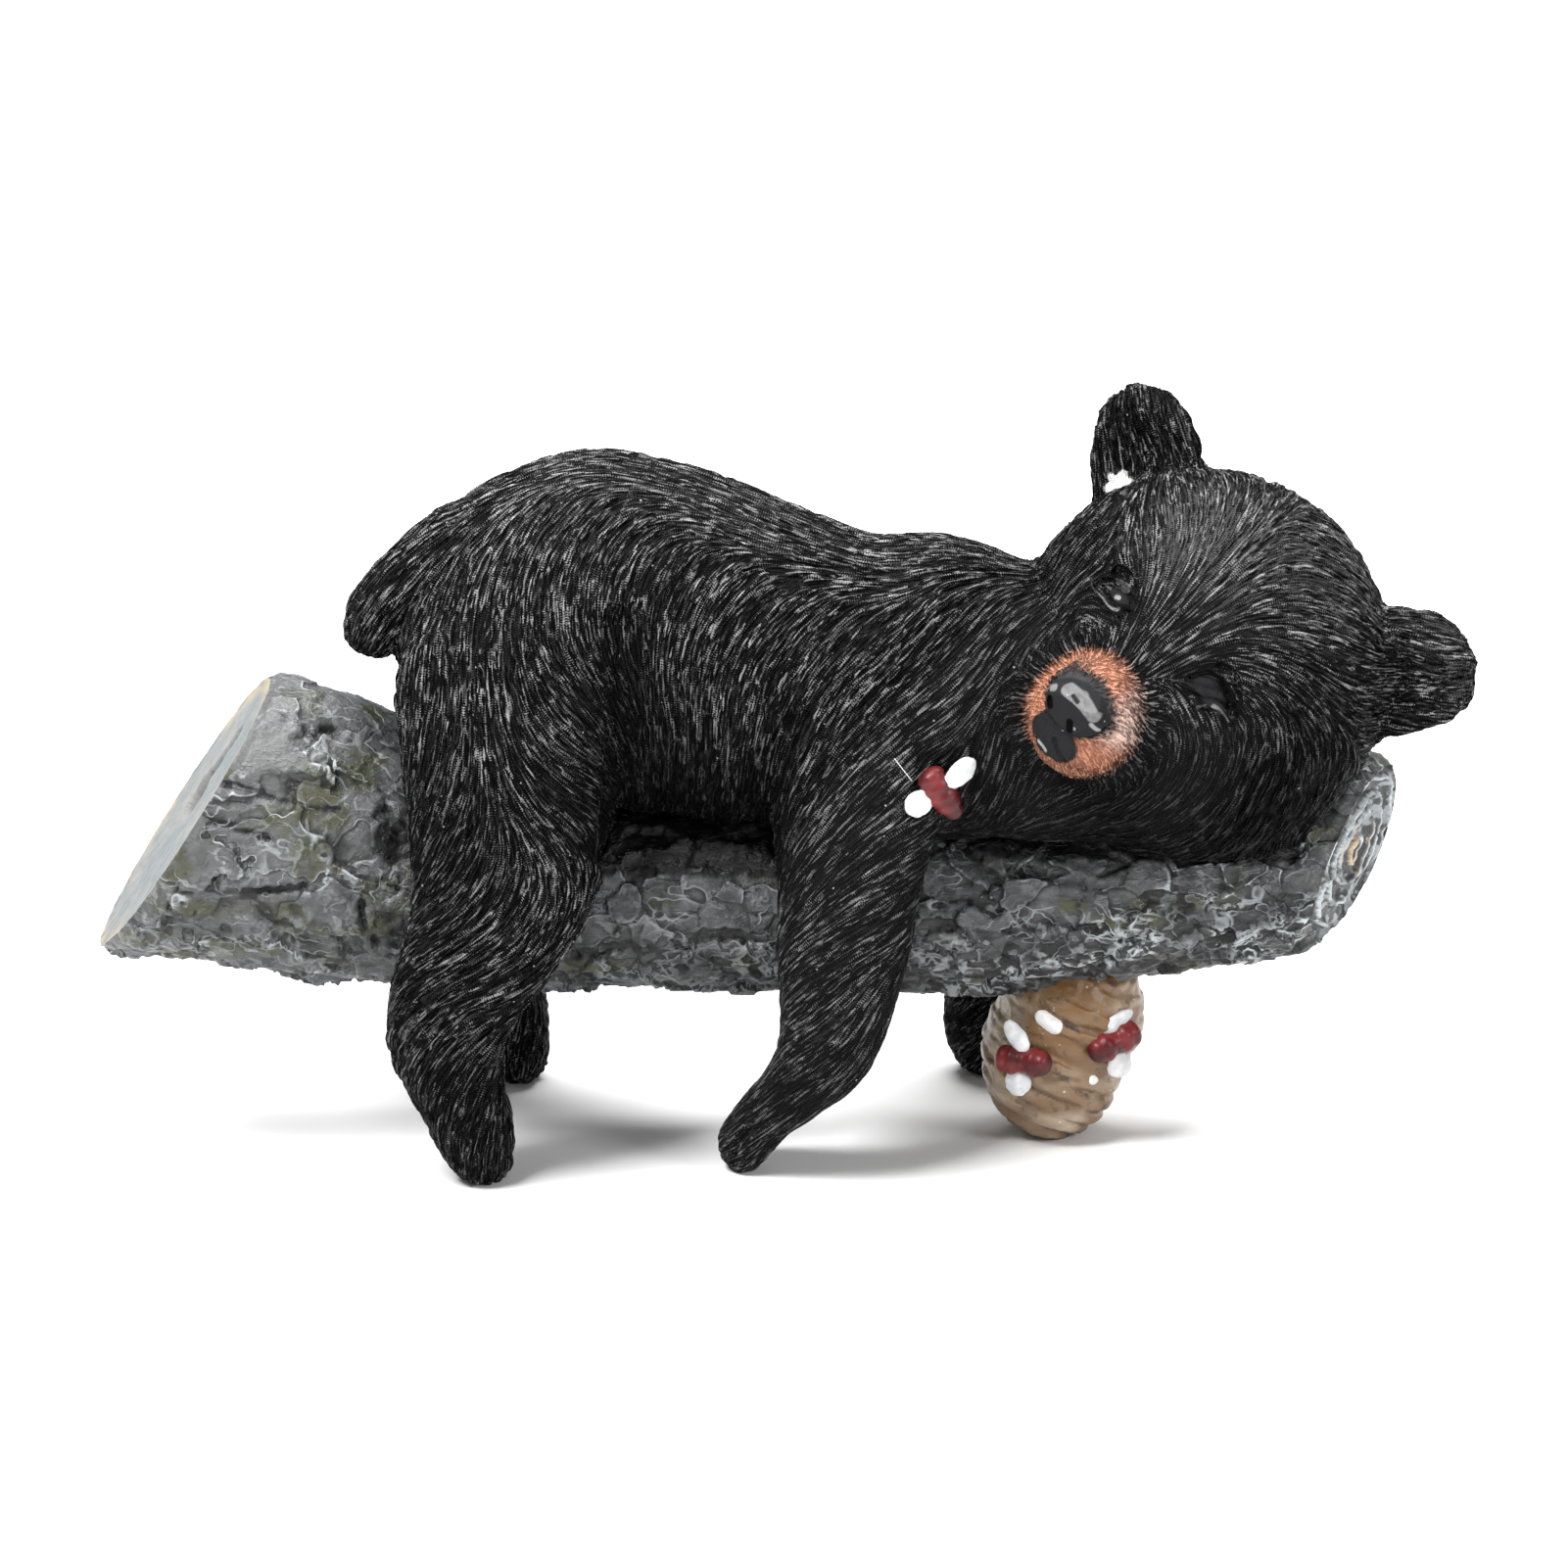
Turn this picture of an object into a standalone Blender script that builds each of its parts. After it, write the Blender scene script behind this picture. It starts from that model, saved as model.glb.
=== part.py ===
"""A bear cub asleep over a branch, with a bees' nest hanging under it: one painted resin casting.

The frame is in metres, +Z up. The figure stands on its four paws and the foot of the nest, at z = 0. The
branch runs along X, from the slanted cut that hangs on a trunk (-X) to the end with growth rings (+X),
and the bear's face looks out towards -Y. All sizes and positions below are in millimetres.
"""

import bmesh
import bpy
import numpy as np
from mathutils import Matrix, Vector, noise

MM = 0.001

# Grids of the sculpted skins, how much of each is kept as flat facets, and its smoothing
BEAR_GRID, BEAR_FACETS, BEAR_SOFTENING = 0.8, 5250, 14
BRANCH_GRID, BRANCH_FACETS, BRANCH_SOFTENING = 0.9, 2200, 10
NEST_GRID, NEST_FACETS, NEST_SOFTENING = 0.7, 850, 4
FINE_FACTOR = 0.005  # how strongly the face holds on to its small facets

# The middle of the figure's box, which the frame's origin sits under
BOX_MIDDLE = (-1.2, -2.8, 0.0)

# Branch: stations along its axis as x, y, z, half depth (y) and half height (z)
BRANCH_STATIONS = (
    (-126.0, 0.0, 60.0, 22.0, 25.5),
    (-105.0, 0.0, 59.0, 22.0, 25.8),
    (-91.0, 0.0, 57.6, 22.0, 26.6),
    (-82.0, 0.0, 55.6, 22.0, 26.6),
    (-70.0, 0.0, 53.2, 21.0, 24.4),
    (-55.0, 0.0, 49.5, 19.5, 20.8),
    (-40.0, 0.0, 46.0, 18.0, 18.5),
    (0.0, 0.0, 45.5, 18.0, 18.0),
    (40.0, 0.0, 45.5, 18.0, 18.0),
    (72.0, 0.0, 49.0, 17.0, 17.5),
    (90.0, -1.0, 51.5, 16.5, 17.0),
    (100.0, -2.0, 53.0, 16.5, 16.5),
    (112.0, -4.0, 52.0, 16.0, 16.0),
)
BARK_PLATE = (13.0, 7.0, 7.0)  # size of a bark plate along x, y and z
BARK_CRACK_WIDTH, BARK_CRACK_DEPTH = 0.22, 1.3  # the width is a share of a plate
BARK_SWELL = 0.9

# The two ends of the branch: a point on the cut and the way it faces
TRUNK_CUT_POINT, TRUNK_CUT_WAY = (-105.0, 0.0, 58.0), (-0.846, 0.058, 0.530)
RING_END_POINT, RING_END_WAY = (98.5, -3.0, 52.1), (0.886, -0.408, -0.220)
RING_STEP, RING_DEPTH, RINGS = 3.8, 0.9, 4

# Keyhole in the trunk cut, measured up the slope from the middle of the cut
KEYHOLE_ENTRY_UP, KEYHOLE_TOP_UP = 5.0, 17.0
KEYHOLE_ENTRY_WIDTH, KEYHOLE_SLOT_WIDTH = 11.0, 5.4
KEYHOLE_LIP, KEYHOLE_DEPTH = 3.0, 9.0

# Bees' nest
NEST_LUMPS = (
    ((47.7, 0.0, 14.6), (13.5, 13.2, 15.6)),
    ((50.0, 0.0, 22.0), (13.4, 13.0, 14.6)),
)
NEST_AXIS_POINT, NEST_AXIS_WAY = (47.5, 0.0, 18.0), (0.30, 0.0, 0.954)
NEST_COIL_STEP, NEST_COIL_DEPTH, NEST_COIL_SLOPE = 4.0, 0.8, 0.225

# Lumps of clay: stations x, y, z, half length (x), half width (y), half height (z)
TORSO = (
    (-56.0, 0.0, 85.5, 10.0, 25.0, 25.5),
    (-48.0, 0.0, 90.0, 12.0, 27.0, 28.0),
    (-33.0, 0.0, 92.0, 12.0, 28.0, 31.0),
    (-16.0, 0.0, 89.5, 12.0, 28.0, 30.5),
    (0.0, 0.0, 85.5, 12.0, 27.5, 28.0),
    (14.0, -1.5, 82.0, 12.0, 27.0, 26.5),
    (28.0, -2.5, 82.0, 12.0, 26.0, 26.5),
    (42.0, -3.5, 81.0, 12.0, 25.0, 23.2),
    (54.0, -4.5, 82.0, 12.0, 24.0, 23.5),
)
CHEST = ((44.0, -9.0, 70.5, 24.0, 18.5, 12.5), (66.0, -10.0, 70.0, 24.0, 19.0, 12.5))
# The head and chest lie flat on the branch at this height, from behind the near foreleg to the far side
REST_HEIGHT, REST_FROM_X, REST_TO_Y = 58.8, 24.0, 10.0
TAIL = (
    (-54.0, 0.0, 104.5, 10.0, 12.0, 10.0),
    (-62.0, -1.0, 100.0, 8.5, 9.0, 8.0),
    (-67.5, -1.0, 95.8, 7.0, 8.0, 6.6),
    (-70.0, -1.0, 92.3, 5.5, 7.0, 5.0),
)
NEAR_HIND_LEG = (
    (-46.0, -17.0, 84.0, 20.0, 14.0, 22.0),
    (-46.0, -24.0, 68.0, 18.0, 11.0, 16.0),
    (-47.0, -27.0, 55.0, 16.0, 9.5, 12.0),
    (-51.0, -27.5, 44.0, 13.5, 9.5, 10.0),
    (-56.0, -27.5, 34.0, 11.5, 9.0, 9.0),
    (-57.5, -27.0, 26.0, 10.0, 8.5, 8.0),
    (-55.5, -25.8, 17.0, 8.0, 8.0, 7.0),
    (-53.5, -24.4, 10.0, 7.2, 7.5, 6.0),
    (-52.0, -23.2, 4.4, 5.6, 6.6, 5.2),
)
FAR_HIND_LEG = (
    (-44.0, 17.0, 84.0, 20.0, 14.0, 22.0),
    (-44.0, 24.0, 68.0, 18.0, 11.0, 16.0),
    (-44.0, 27.0, 55.0, 15.0, 9.5, 12.0),
    (-47.0, 27.5, 44.0, 12.5, 9.5, 10.0),
    (-50.5, 27.5, 34.0, 10.0, 9.0, 9.0),
    (-51.5, 27.0, 26.0, 8.8, 8.5, 8.0),
    (-50.0, 26.5, 17.0, 7.4, 8.0, 7.0),
    (-48.5, 26.5, 10.0, 6.6, 7.5, 6.0),
    (-47.5, 26.0, 4.4, 5.3, 6.6, 5.2),
)
NEAR_FORE_LEG = (
    (16.0, -16.0, 80.0, 17.0, 13.0, 16.0),
    (12.0, -23.0, 66.0, 14.5, 10.5, 13.0),
    (11.0, -26.0, 54.0, 12.5, 9.0, 11.0),
    (10.0, -27.0, 43.0, 11.5, 8.5, 10.0),
    (9.0, -26.5, 33.0, 10.0, 8.0, 8.0),
    (7.0, -25.0, 24.0, 8.6, 7.6, 7.5),
    (2.2, -22.8, 16.8, 6.4, 7.2, 6.0),
    (-3.0, -20.0, 10.7, 5.2, 6.8, 5.0),
    (-7.0, -17.6, 4.6, 4.8, 6.2, 5.4),
)
FAR_FORE_LEG = (
    (38.0, 15.0, 80.0, 14.0, 12.0, 15.0),
    (39.0, 22.0, 66.0, 12.5, 10.5, 13.0),
    (39.0, 26.5, 54.0, 11.0, 9.0, 11.0),
    (39.0, 28.5, 43.0, 10.0, 8.5, 10.0),
    (38.5, 29.5, 33.0, 9.5, 8.2, 8.0),
    (38.0, 30.0, 24.0, 9.0, 8.0, 7.5),
    (37.0, 30.0, 16.0, 8.5, 7.6, 6.5),
    (36.5, 30.0, 9.0, 8.0, 7.2, 6.0),
    (36.5, 30.0, 4.4, 6.5, 6.5, 5.2),
)

# Soft creases of the body: points on the skin, then radius and depth
FLANK_CREASE = ((-27.0, -28.0, 100.0), (-25.5, -28.0, 88.0), (-26.0, -27.0, 74.0), (-31.0, -26.0, 60.0))
FLANK_CREASE_RADIUS, FLANK_CREASE_DEPTH = 6.5, 1.6
ELBOW_CREASE = ((0.0, -27.0, 84.0), (-3.0, -27.5, 74.0), (-2.0, -27.0, 62.0))
ELBOW_CREASE_RADIUS, ELBOW_CREASE_DEPTH = 5.0, 1.0
# Gaps between toes: where each starts on the top of a paw and where it ends at the tip
TOE_GAPS = (
    ((-56.5, -33.5, 9.0), (-54.5, -32.0, 0.5)),
    ((-51.5, -34.0, 9.0), (-51.0, -32.5, 0.5)),
    ((-48.0, 33.5, 9.0), (-47.0, 32.5, 0.5)),
    ((-7.0, -25.5, 9.5), (-9.5, -23.0, 2.0)),
    ((-3.5, -26.5, 7.0), (-6.0, -24.0, 0.5)),
    ((33.5, 37.0, 8.0), (34.0, 36.0, 0.5)),
    ((39.5, 37.0, 8.0), (39.0, 36.0, 0.5)),
)
TOE_GAP_RADIUS, TOE_GAP_DEPTH = 1.7, 0.9

# Head: its centre, and the ways that its muzzle and its crown point. In the head's own frame +X is the
# bear's right, +Y the way out along the muzzle and +Z the crown.
HEAD_CENTRE = (70.0, -6.0, 87.3)
MUZZLE_WAY = (-0.47, -0.877, 0.117)
CROWN_WAY = (0.51, -0.156, 0.846)
SKULL = ((-0.7, 0.0, 0.0), (33.2, 29.0, 34.8))
FACE = ((0.0, 7.0, -8.0), (31.0, 23.0, 24.0))
CHEEK = ((16.0, 8.0, -8.0), (15.0, 15.0, 15.0))
BROW = ((9.5, 15.0, 14.0), (11.0, 9.0, 9.0))
EAR = (
    (23.5, -6.0, 14.7, 11.6, 4.6, 11.6),
    (28.5, -7.0, 19.2, 10.9, 4.2, 10.9),
    (32.3, -8.0, 22.5, 10.0, 3.8, 10.0),
)
EAR_HOLLOW = ((31.0, -3.0, 20.5), 9.0, 3.8)
MUZZLE = (
    (0.3, 19.0, -7.0, 14.5, 8.0, 14.0),
    (0.8, 27.0, -7.3, 10.8, 7.5, 11.3),
    (1.4, 34.0, -7.0, 9.3, 6.5, 10.0),
)
NOSE = ((1.8, 39.3, -3.6), (6.4, 4.2, 4.3))
NOSE_TOP = ((1.8, 39.8, 1.4), 5.0, 1.2)  # where the flat above the nose leather is pressed down
NOSTRILS, NOSTRIL_RADIUS, NOSTRIL_DEPTH = ((4.7, 42.2, -4.9), (-1.1, 42.4, -4.9)), 1.6, 1.6
# Brown paint: a patch on the muzzle by x and z, in front of this y, that leaves the nose black
BROWN_MIDDLE, BROWN_HALF, BROWN_FROM_Y, NOSE_PAINT_RADIUS = (1.0, -6.5), 10.8, 28.5, 6.8
# The mouth: the groove under the nose, then a lip line on each side of its foot
LIP_MIDDLE = ((1.8, 42.6, -7.0), (1.5, 40.2, -11.8))
MOUTH_ASIDE = 1.5
LIP_LINE = ((0.0, 40.2, -11.8), (3.4, 38.0, -14.2), (6.8, 33.0, -15.6), (9.0, 27.0, -14.6))
LIP_RADIUS, LIP_DEPTH = 1.3, 1.2
# Closed eye, on the bear's right: its socket, its lid, the line where the lids meet and the fold above
EYE_SOCKET = ((11.5, 25.8, 10.0), 8.5, 1.8)
EYE_LID = ((11.5, 25.0, 9.4), 4.6, 1.5)
EYE_LINE = ((6.9, 27.2, 9.6), (9.1, 26.8, 7.8), (12.1, 25.9, 7.2), (14.9, 24.8, 7.8), (16.7, 23.9, 8.8))
EYE_CREASE = ((7.3, 27.2, 10.8), (9.7, 26.6, 12.0), (12.5, 25.6, 12.1), (15.5, 24.2, 10.6))
EYE_LINE_RADIUS, EYE_LINE_DEPTH = 1.0, 1.0
EYE_CREASE_RADIUS, EYE_CREASE_DEPTH = 0.9, 0.6

# Bees: where the body is, the way its length points, the way out of the surface, and its half sizes
BEES = (
    ((26.4, -29.6, 72.2), (0.53, 0.10, -0.84), (0.30, -0.94, 0.06), (5.0, 2.3, 2.2)),
    ((41.3, -12.6, 17.7), (0.97, -0.22, 0.0), (-0.40, -0.90, 0.12), (5.2, 2.5, 2.6)),
    ((57.2, -10.6, 20.4), (0.85, 0.42, 0.30), (0.48, -0.86, -0.05), (5.2, 2.5, 2.6)),
)
BEE_WING = ((-0.8, 4.7, -0.3), (1.9, 2.8, 1.3))
BEE_SEGMENTS = ((-0.72, 0.62), (-0.25, 0.92), (0.28, 1.0), (0.75, 0.66))  # place and girth, as shares
BEE_GRID, BEE_FACETS, WING_FACETS = 0.35, 130, 44

# Paints: base colour, roughness, and how much clear varnish lies on top
PAINTS = {
    "fur_black": ((0.012, 0.012, 0.013), 0.36, 0.3),
    "bark_grey": ((0.170, 0.180, 0.175), 0.60, 0.0),
    "cut_wood": ((0.520, 0.530, 0.500), 0.60, 0.0),
    "nest_tan": ((0.330, 0.215, 0.115), 0.40, 0.4),
    "bee_red": ((0.090, 0.012, 0.010), 0.30, 0.5),
    "wing_white": ((0.800, 0.800, 0.800), 0.50, 0.0),
    "muzzle_brown": ((0.360, 0.150, 0.075), 0.50, 0.0),
}


def ball():
    """Points and faces of a unit sphere."""
    bm = bmesh.new()
    bmesh.ops.create_icosphere(bm, subdivisions=4, radius=1.0)
    points = np.array([v.co[:] for v in bm.verts])
    faces = np.array([[v.index for v in f.verts] for f in bm.faces])
    bm.free()
    return points, faces


BALL_POINTS, BALL_FACES = ball()


def head_matrix():
    """From the head's own frame, in millimetres, to the figure's."""
    forward = Vector(MUZZLE_WAY).normalized()
    right = forward.cross(Vector(CROWN_WAY)).normalized()
    turn = Matrix((right, forward, right.cross(forward))).transposed()
    return Matrix.Translation(Vector(HEAD_CENTRE)) @ turn.to_4x4()


def placed(matrix, points):
    """The point or points, moved by the matrix."""
    turn = np.array(matrix)
    return np.asarray(points, float) @ turn[:3, :3].T + turn[:3, 3]


def facing(point, way, along=(0.0, 0.0, 1.0)):
    """A frame at the point whose +Z looks the given way and whose +X follows along as near as it can."""
    out = Vector(way).normalized()
    side = out.cross(Vector(along)).normalized()
    return Matrix.Translation(Vector(point)) @ Matrix((side.cross(out), side, out)).transposed().to_4x4()


def curve_through(stations, per_span):
    """Catmull-Rom points through the stations, ends included."""
    p = np.array(stations, float)
    p = np.vstack([2 * p[0] - p[1], p, 2 * p[-1] - p[-2]])
    out = []
    for a, b, c, d in zip(p, p[1:], p[2:], p[3:]):
        for t in np.arange(per_span) / per_span:
            bend = (2 * a - 5 * b + 4 * c - d) * t**2 + (3 * b - a - 3 * c + d) * t**3
            out.append(b + 0.5 * ((c - a) * t + bend))
    return np.array([*out, p[-2]])


class Clay:
    """Ellipsoids of clay. Remeshing them makes one skin."""

    def __init__(self, matrix=None):
        self.matrix = matrix or Matrix.Identity(4)
        self.lumps = []

    def lump(self, centre, radii):
        self.lumps.append(placed(self.matrix, BALL_POINTS * radii + centre))

    def chain(self, stations, per_span=7):
        for x, y, z, *radii in curve_through(stations, per_span):
            self.lump((x, y, z), radii)


def mesh_object(name, points, faces):
    mesh = bpy.data.meshes.new(name)
    mesh.from_pydata(points * MM, [], faces)
    obj = bpy.data.objects.new(name, mesh)
    bpy.context.scene.collection.objects.link(obj)
    return obj


def with_modifiers_applied(obj):
    graph = bpy.context.evaluated_depsgraph_get()
    mesh = bpy.data.meshes.new_from_object(obj.evaluated_get(graph))
    obj.modifiers.clear()
    obj.data = mesh
    return obj


def skin_of(name, clays, grid, softening):
    """One closed skin over all the clay, softened where the lumps meet."""
    lumps = [lump for clay in clays for lump in clay.lumps]
    faces = [BALL_FACES + i * len(BALL_POINTS) for i in range(len(lumps))]
    obj = mesh_object(name, np.concatenate(lumps), np.concatenate(faces))
    skin = obj.modifiers.new("skin", "REMESH")
    skin.mode, skin.voxel_size = "VOXEL", grid * MM
    soften = obj.modifiers.new("soften", "SMOOTH")
    soften.factor, soften.iterations = 0.5, softening
    return with_modifiers_applied(obj)


class Sculpt:
    """Strokes on a skin. Points and sizes are in millimetres."""

    def __init__(self, obj):
        self.obj = obj
        count = len(obj.data.vertices)
        self.points, self.normals = np.empty(count * 3), np.empty(count * 3)
        obj.data.vertices.foreach_get("co", self.points)
        obj.data.vertex_normals.foreach_get("vector", self.normals)
        self.points = self.points.reshape(-1, 3) / MM
        self.normals = self.normals.reshape(-1, 3)

    def press(self, centre, radius, depth, way=None):
        """Pushes in a round dent, or raises a mound if the depth is negative."""
        reach = np.linalg.norm(self.points - centre, axis=1) / radius
        fade = np.clip(1.0 - reach**2, 0.0, 1.0) ** 2
        if way is None:
            self.points -= self.normals * (fade * depth)[:, None]
        else:
            faced = np.clip(-self.normals @ way, 0.0, 1.0)
            self.points += np.asarray(way) * (fade * faced * depth)[:, None]

    def groove(self, path, radius, depth):
        """Cuts a rounded groove along the path, into the skin."""
        path = curve_through(path, 6)
        near = np.full(len(self.points), np.inf)
        for start, end in zip(path, path[1:]):
            span = end - start
            along = np.clip((self.points - start) @ span / (span @ span), 0.0, 1.0)
            near = np.minimum(near, np.linalg.norm(self.points - start - along[:, None] * span, axis=1))
        fade = np.clip(1.0 - (near / radius) ** 2, 0.0, 1.0) ** 2
        self.points -= self.normals * (fade * depth)[:, None]

    def rest_on(self, height, where):
        """Flattens what hangs below the height, as far as where says (0 to 1)."""
        below = np.clip(height - self.points[:, 2], 0.0, None)
        self.points[:, 2] += below * 0.85 * where

    def raise_by(self, heights):
        self.points += self.normals * heights[:, None]

    def done(self):
        self.obj.data.vertices.foreach_set("co", (self.points * MM).ravel())
        self.obj.data.update()
        return self.obj


def faceted(obj, facets, keep_fine=None):
    """Fewer, larger facets. The points in keep_fine lose fewer of theirs."""
    change = obj.modifiers.new("facets", "DECIMATE")
    obj.data.calc_loop_triangles()
    change.ratio = facets / len(obj.data.loop_triangles)
    if keep_fine is not None:
        group = obj.vertex_groups.new(name="fine")
        group.add(np.flatnonzero(keep_fine).tolist(), 0.5, "REPLACE")
        change.vertex_group, change.invert_vertex_group = group.name, True
        change.vertex_group_factor = FINE_FACTOR
    return with_modifiers_applied(obj)


def painted(obj, *names):
    for name in names:
        obj.data.materials.append(bpy.data.materials[name])
    return obj


def make_paints():
    for name, (colour, roughness, varnish) in PAINTS.items():
        material = bpy.data.materials.new(name)
        material.use_nodes = True
        material.diffuse_color = (*colour, 1.0)
        shader = material.node_tree.nodes["Principled BSDF"]
        shader.inputs["Base Color"].default_value = (*colour, 1.0)
        shader.inputs["Roughness"].default_value = roughness
        shader.inputs["Coat Weight"].default_value = varnish


def bear():
    body = Clay()
    for stations in (TORSO, CHEST, TAIL, NEAR_HIND_LEG, FAR_HIND_LEG, NEAR_FORE_LEG, FAR_FORE_LEG):
        body.chain(stations)
    head = Clay(head_matrix())
    for centre, radii in (SKULL, FACE, NOSE):
        head.lump(centre, radii)
    head.chain(MUZZLE)
    for side in (1.0, -1.0):
        for (x, y, z), radii in (CHEEK, BROW):
            head.lump((side * x, y, z), radii)
        head.chain([(side * x, *rest) for x, *rest in EAR])
    sculpt = Sculpt(skin_of("bear", (body, head), BEAR_GRID, BEAR_SOFTENING))
    sculpt.groove(FLANK_CREASE, FLANK_CREASE_RADIUS, FLANK_CREASE_DEPTH)
    sculpt.groove(ELBOW_CREASE, ELBOW_CREASE_RADIUS, ELBOW_CREASE_DEPTH)
    for gap in TOE_GAPS:
        sculpt.groove(gap, TOE_GAP_RADIUS, TOE_GAP_DEPTH)
    x, y, z = sculpt.points.T
    lying = np.clip((x - REST_FROM_X) / 6.0, 0.0, 1.0) * np.clip((REST_TO_Y - y) / 6.0, 0.0, 1.0)
    sculpt.rest_on(REST_HEIGHT, lying * (z > 40.0))
    carve_face(sculpt)
    in_head = placed(head_matrix().inverted(), sculpt.points)
    face = (in_head[:, 1] > 15.0) & (np.abs(in_head[:, 0]) < 19.0) & (np.abs(in_head[:, 2]) < 17.0)
    figure = faceted(sculpt.done(), BEAR_FACETS, face)
    return with_brown_muzzle(painted(figure, "fur_black", "muzzle_brown"))


def with_brown_muzzle(obj):
    """Brown around the nose and mouth, as far back as where the muzzle leaves the face."""
    to_head = head_matrix().inverted()
    for polygon in obj.data.polygons:
        x, y, z = placed(to_head, polygon.center / MM)
        on_nose = np.hypot(x - NOSE[0][0], z - NOSE[0][2]) < NOSE_PAINT_RADIUS
        aside = max(abs(x - BROWN_MIDDLE[0]), abs(z - BROWN_MIDDLE[1]))
        polygon.material_index = int(y > BROWN_FROM_Y and aside < BROWN_HALF and not on_nose)
    return obj


def carve_face(sculpt):
    head = head_matrix()
    back, down = -np.array(head.col[1][:3]), -np.array(head.col[2][:3])
    for side in (1.0, -1.0):
        half = head @ Matrix.Diagonal((side, 1.0, 1.0, 1.0))
        for (centre, radius, depth), way in ((EAR_HOLLOW, back), (EYE_SOCKET, back), (EYE_LID, None)):
            sculpt.press(placed(half, centre), radius, depth, way)
        sculpt.groove(placed(half, EYE_LINE), EYE_LINE_RADIUS, EYE_LINE_DEPTH)
        sculpt.groove(placed(half, EYE_CREASE), EYE_CREASE_RADIUS, EYE_CREASE_DEPTH)
        lips = head @ Matrix.Translation((MOUTH_ASIDE, 0.0, 0.0)) @ Matrix.Diagonal((side, 1.0, 1.0, 1.0))
        sculpt.groove(placed(lips, LIP_LINE), LIP_RADIUS, LIP_DEPTH)
    sculpt.groove(placed(head, LIP_MIDDLE), LIP_RADIUS, LIP_DEPTH)
    sculpt.press(placed(head, NOSE_TOP[0]), NOSE_TOP[1], NOSE_TOP[2], down)
    for nostril in NOSTRILS:
        sculpt.press(placed(head, nostril), NOSTRIL_RADIUS, NOSTRIL_DEPTH, back)


def branch():
    clay = Clay()
    for x, y, z, depth, height in curve_through(BRANCH_STATIONS, 9):
        clay.lump((x, y, z), (height * 0.6, depth, height))
    sculpt = Sculpt(skin_of("branch", [clay], BRANCH_GRID, BRANCH_SOFTENING))
    heights = []
    for point in sculpt.points / BARK_PLATE:
        (nearest, second, *_), _ = noise.voronoi(Vector(point))
        crack = max(0.0, 1.0 - (second - nearest) / BARK_CRACK_WIDTH)
        heights.append(noise.noise(Vector(point) * 0.9) * BARK_SWELL - crack**2 * BARK_CRACK_DEPTH)
    sculpt.raise_by(np.array(heights))
    return painted(faceted(sculpt.done(), BRANCH_FACETS), "bark_grey")


def nest():
    clay = Clay()
    for centre, radii in NEST_LUMPS:
        clay.lump(centre, radii)
    sculpt = Sculpt(skin_of("nest", [clay], NEST_GRID, NEST_SOFTENING))
    away = sculpt.points - NEST_AXIS_POINT
    height = away @ np.array(NEST_AXIS_WAY) + NEST_COIL_SLOPE * away[:, 0]
    sculpt.raise_by((np.abs(np.sin(np.pi * height / NEST_COIL_STEP)) ** 0.6 - 1.0) * NEST_COIL_DEPTH)
    return painted(faceted(sculpt.done(), NEST_FACETS), "nest_tan")


def bee(index, centre, along, out, half):
    frame = facing(centre, out, along)
    body = Clay(frame)
    for place, girth in BEE_SEGMENTS:
        body.lump((place * half[0], 0.0, 0.0), (half[0] * 0.38, half[1] * girth, half[2] * girth))
    pieces = [painted(faceted(skin_of(f"bee_{index}", [body], BEE_GRID, 2), BEE_FACETS), "bee_red")]
    for side in (1.0, -1.0):
        wing = Clay(frame)
        (x, y, z), radii = BEE_WING
        wing.lump((x, side * y, z), radii)
        dab = faceted(skin_of(f"wing_{index}_{side:+.0f}", [wing], BEE_GRID, 1), WING_FACETS)
        pieces.append(painted(dab, "wing_white"))
    return pieces


def block(name, point, way, along=(0.0, 0.0, 1.0), size=0.4):
    """A block whose near face lies at the point, for cutting away all that is beyond it."""
    bm = bmesh.new()
    bmesh.ops.create_cube(bm, size=size)
    bm.transform(Matrix.Translation((0.0, 0.0, size / 2)))
    bm.transform(facing(Vector(point) * MM, way, along))
    return helper(name, bm)


def ringed_block(name, point, way, radius=50.0, length=60.0):
    """The same, but round, with grooves in its near face that leave growth rings standing."""
    profile = [(0.0, 0.0)]
    for ring in range(RINGS):
        profile += [((ring + 0.45) * RING_STEP, 0.0), ((ring + 0.85) * RING_STEP, RING_DEPTH)]
    profile += [(RINGS * RING_STEP + 1.2, 0.0), (radius, 0.0), (radius, length), (0.0, length)]
    bm = bmesh.new()
    line = [bm.verts.new((r * MM, 0.0, z * MM)) for r, z in profile]
    edges = [bm.edges.new(pair) for pair in zip(line, line[1:])]
    bmesh.ops.spin(bm, geom=line + edges, cent=(0, 0, 0), axis=(0, 0, 1), angle=2 * np.pi, steps=24)
    bmesh.ops.remove_doubles(bm, verts=bm.verts, dist=1e-6)
    bmesh.ops.recalc_face_normals(bm, faces=bm.faces)
    bm.transform(facing(Vector(point) * MM, way))
    return helper(name, bm)


def helper(name, bm):
    mesh = bpy.data.meshes.new(name)
    bm.to_mesh(mesh)
    bm.free()
    obj = bpy.data.objects.new(name, mesh)
    bpy.context.scene.collection.objects.link(obj)
    obj.hide_render, obj.display_type = True, "WIRE"
    return obj


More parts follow.
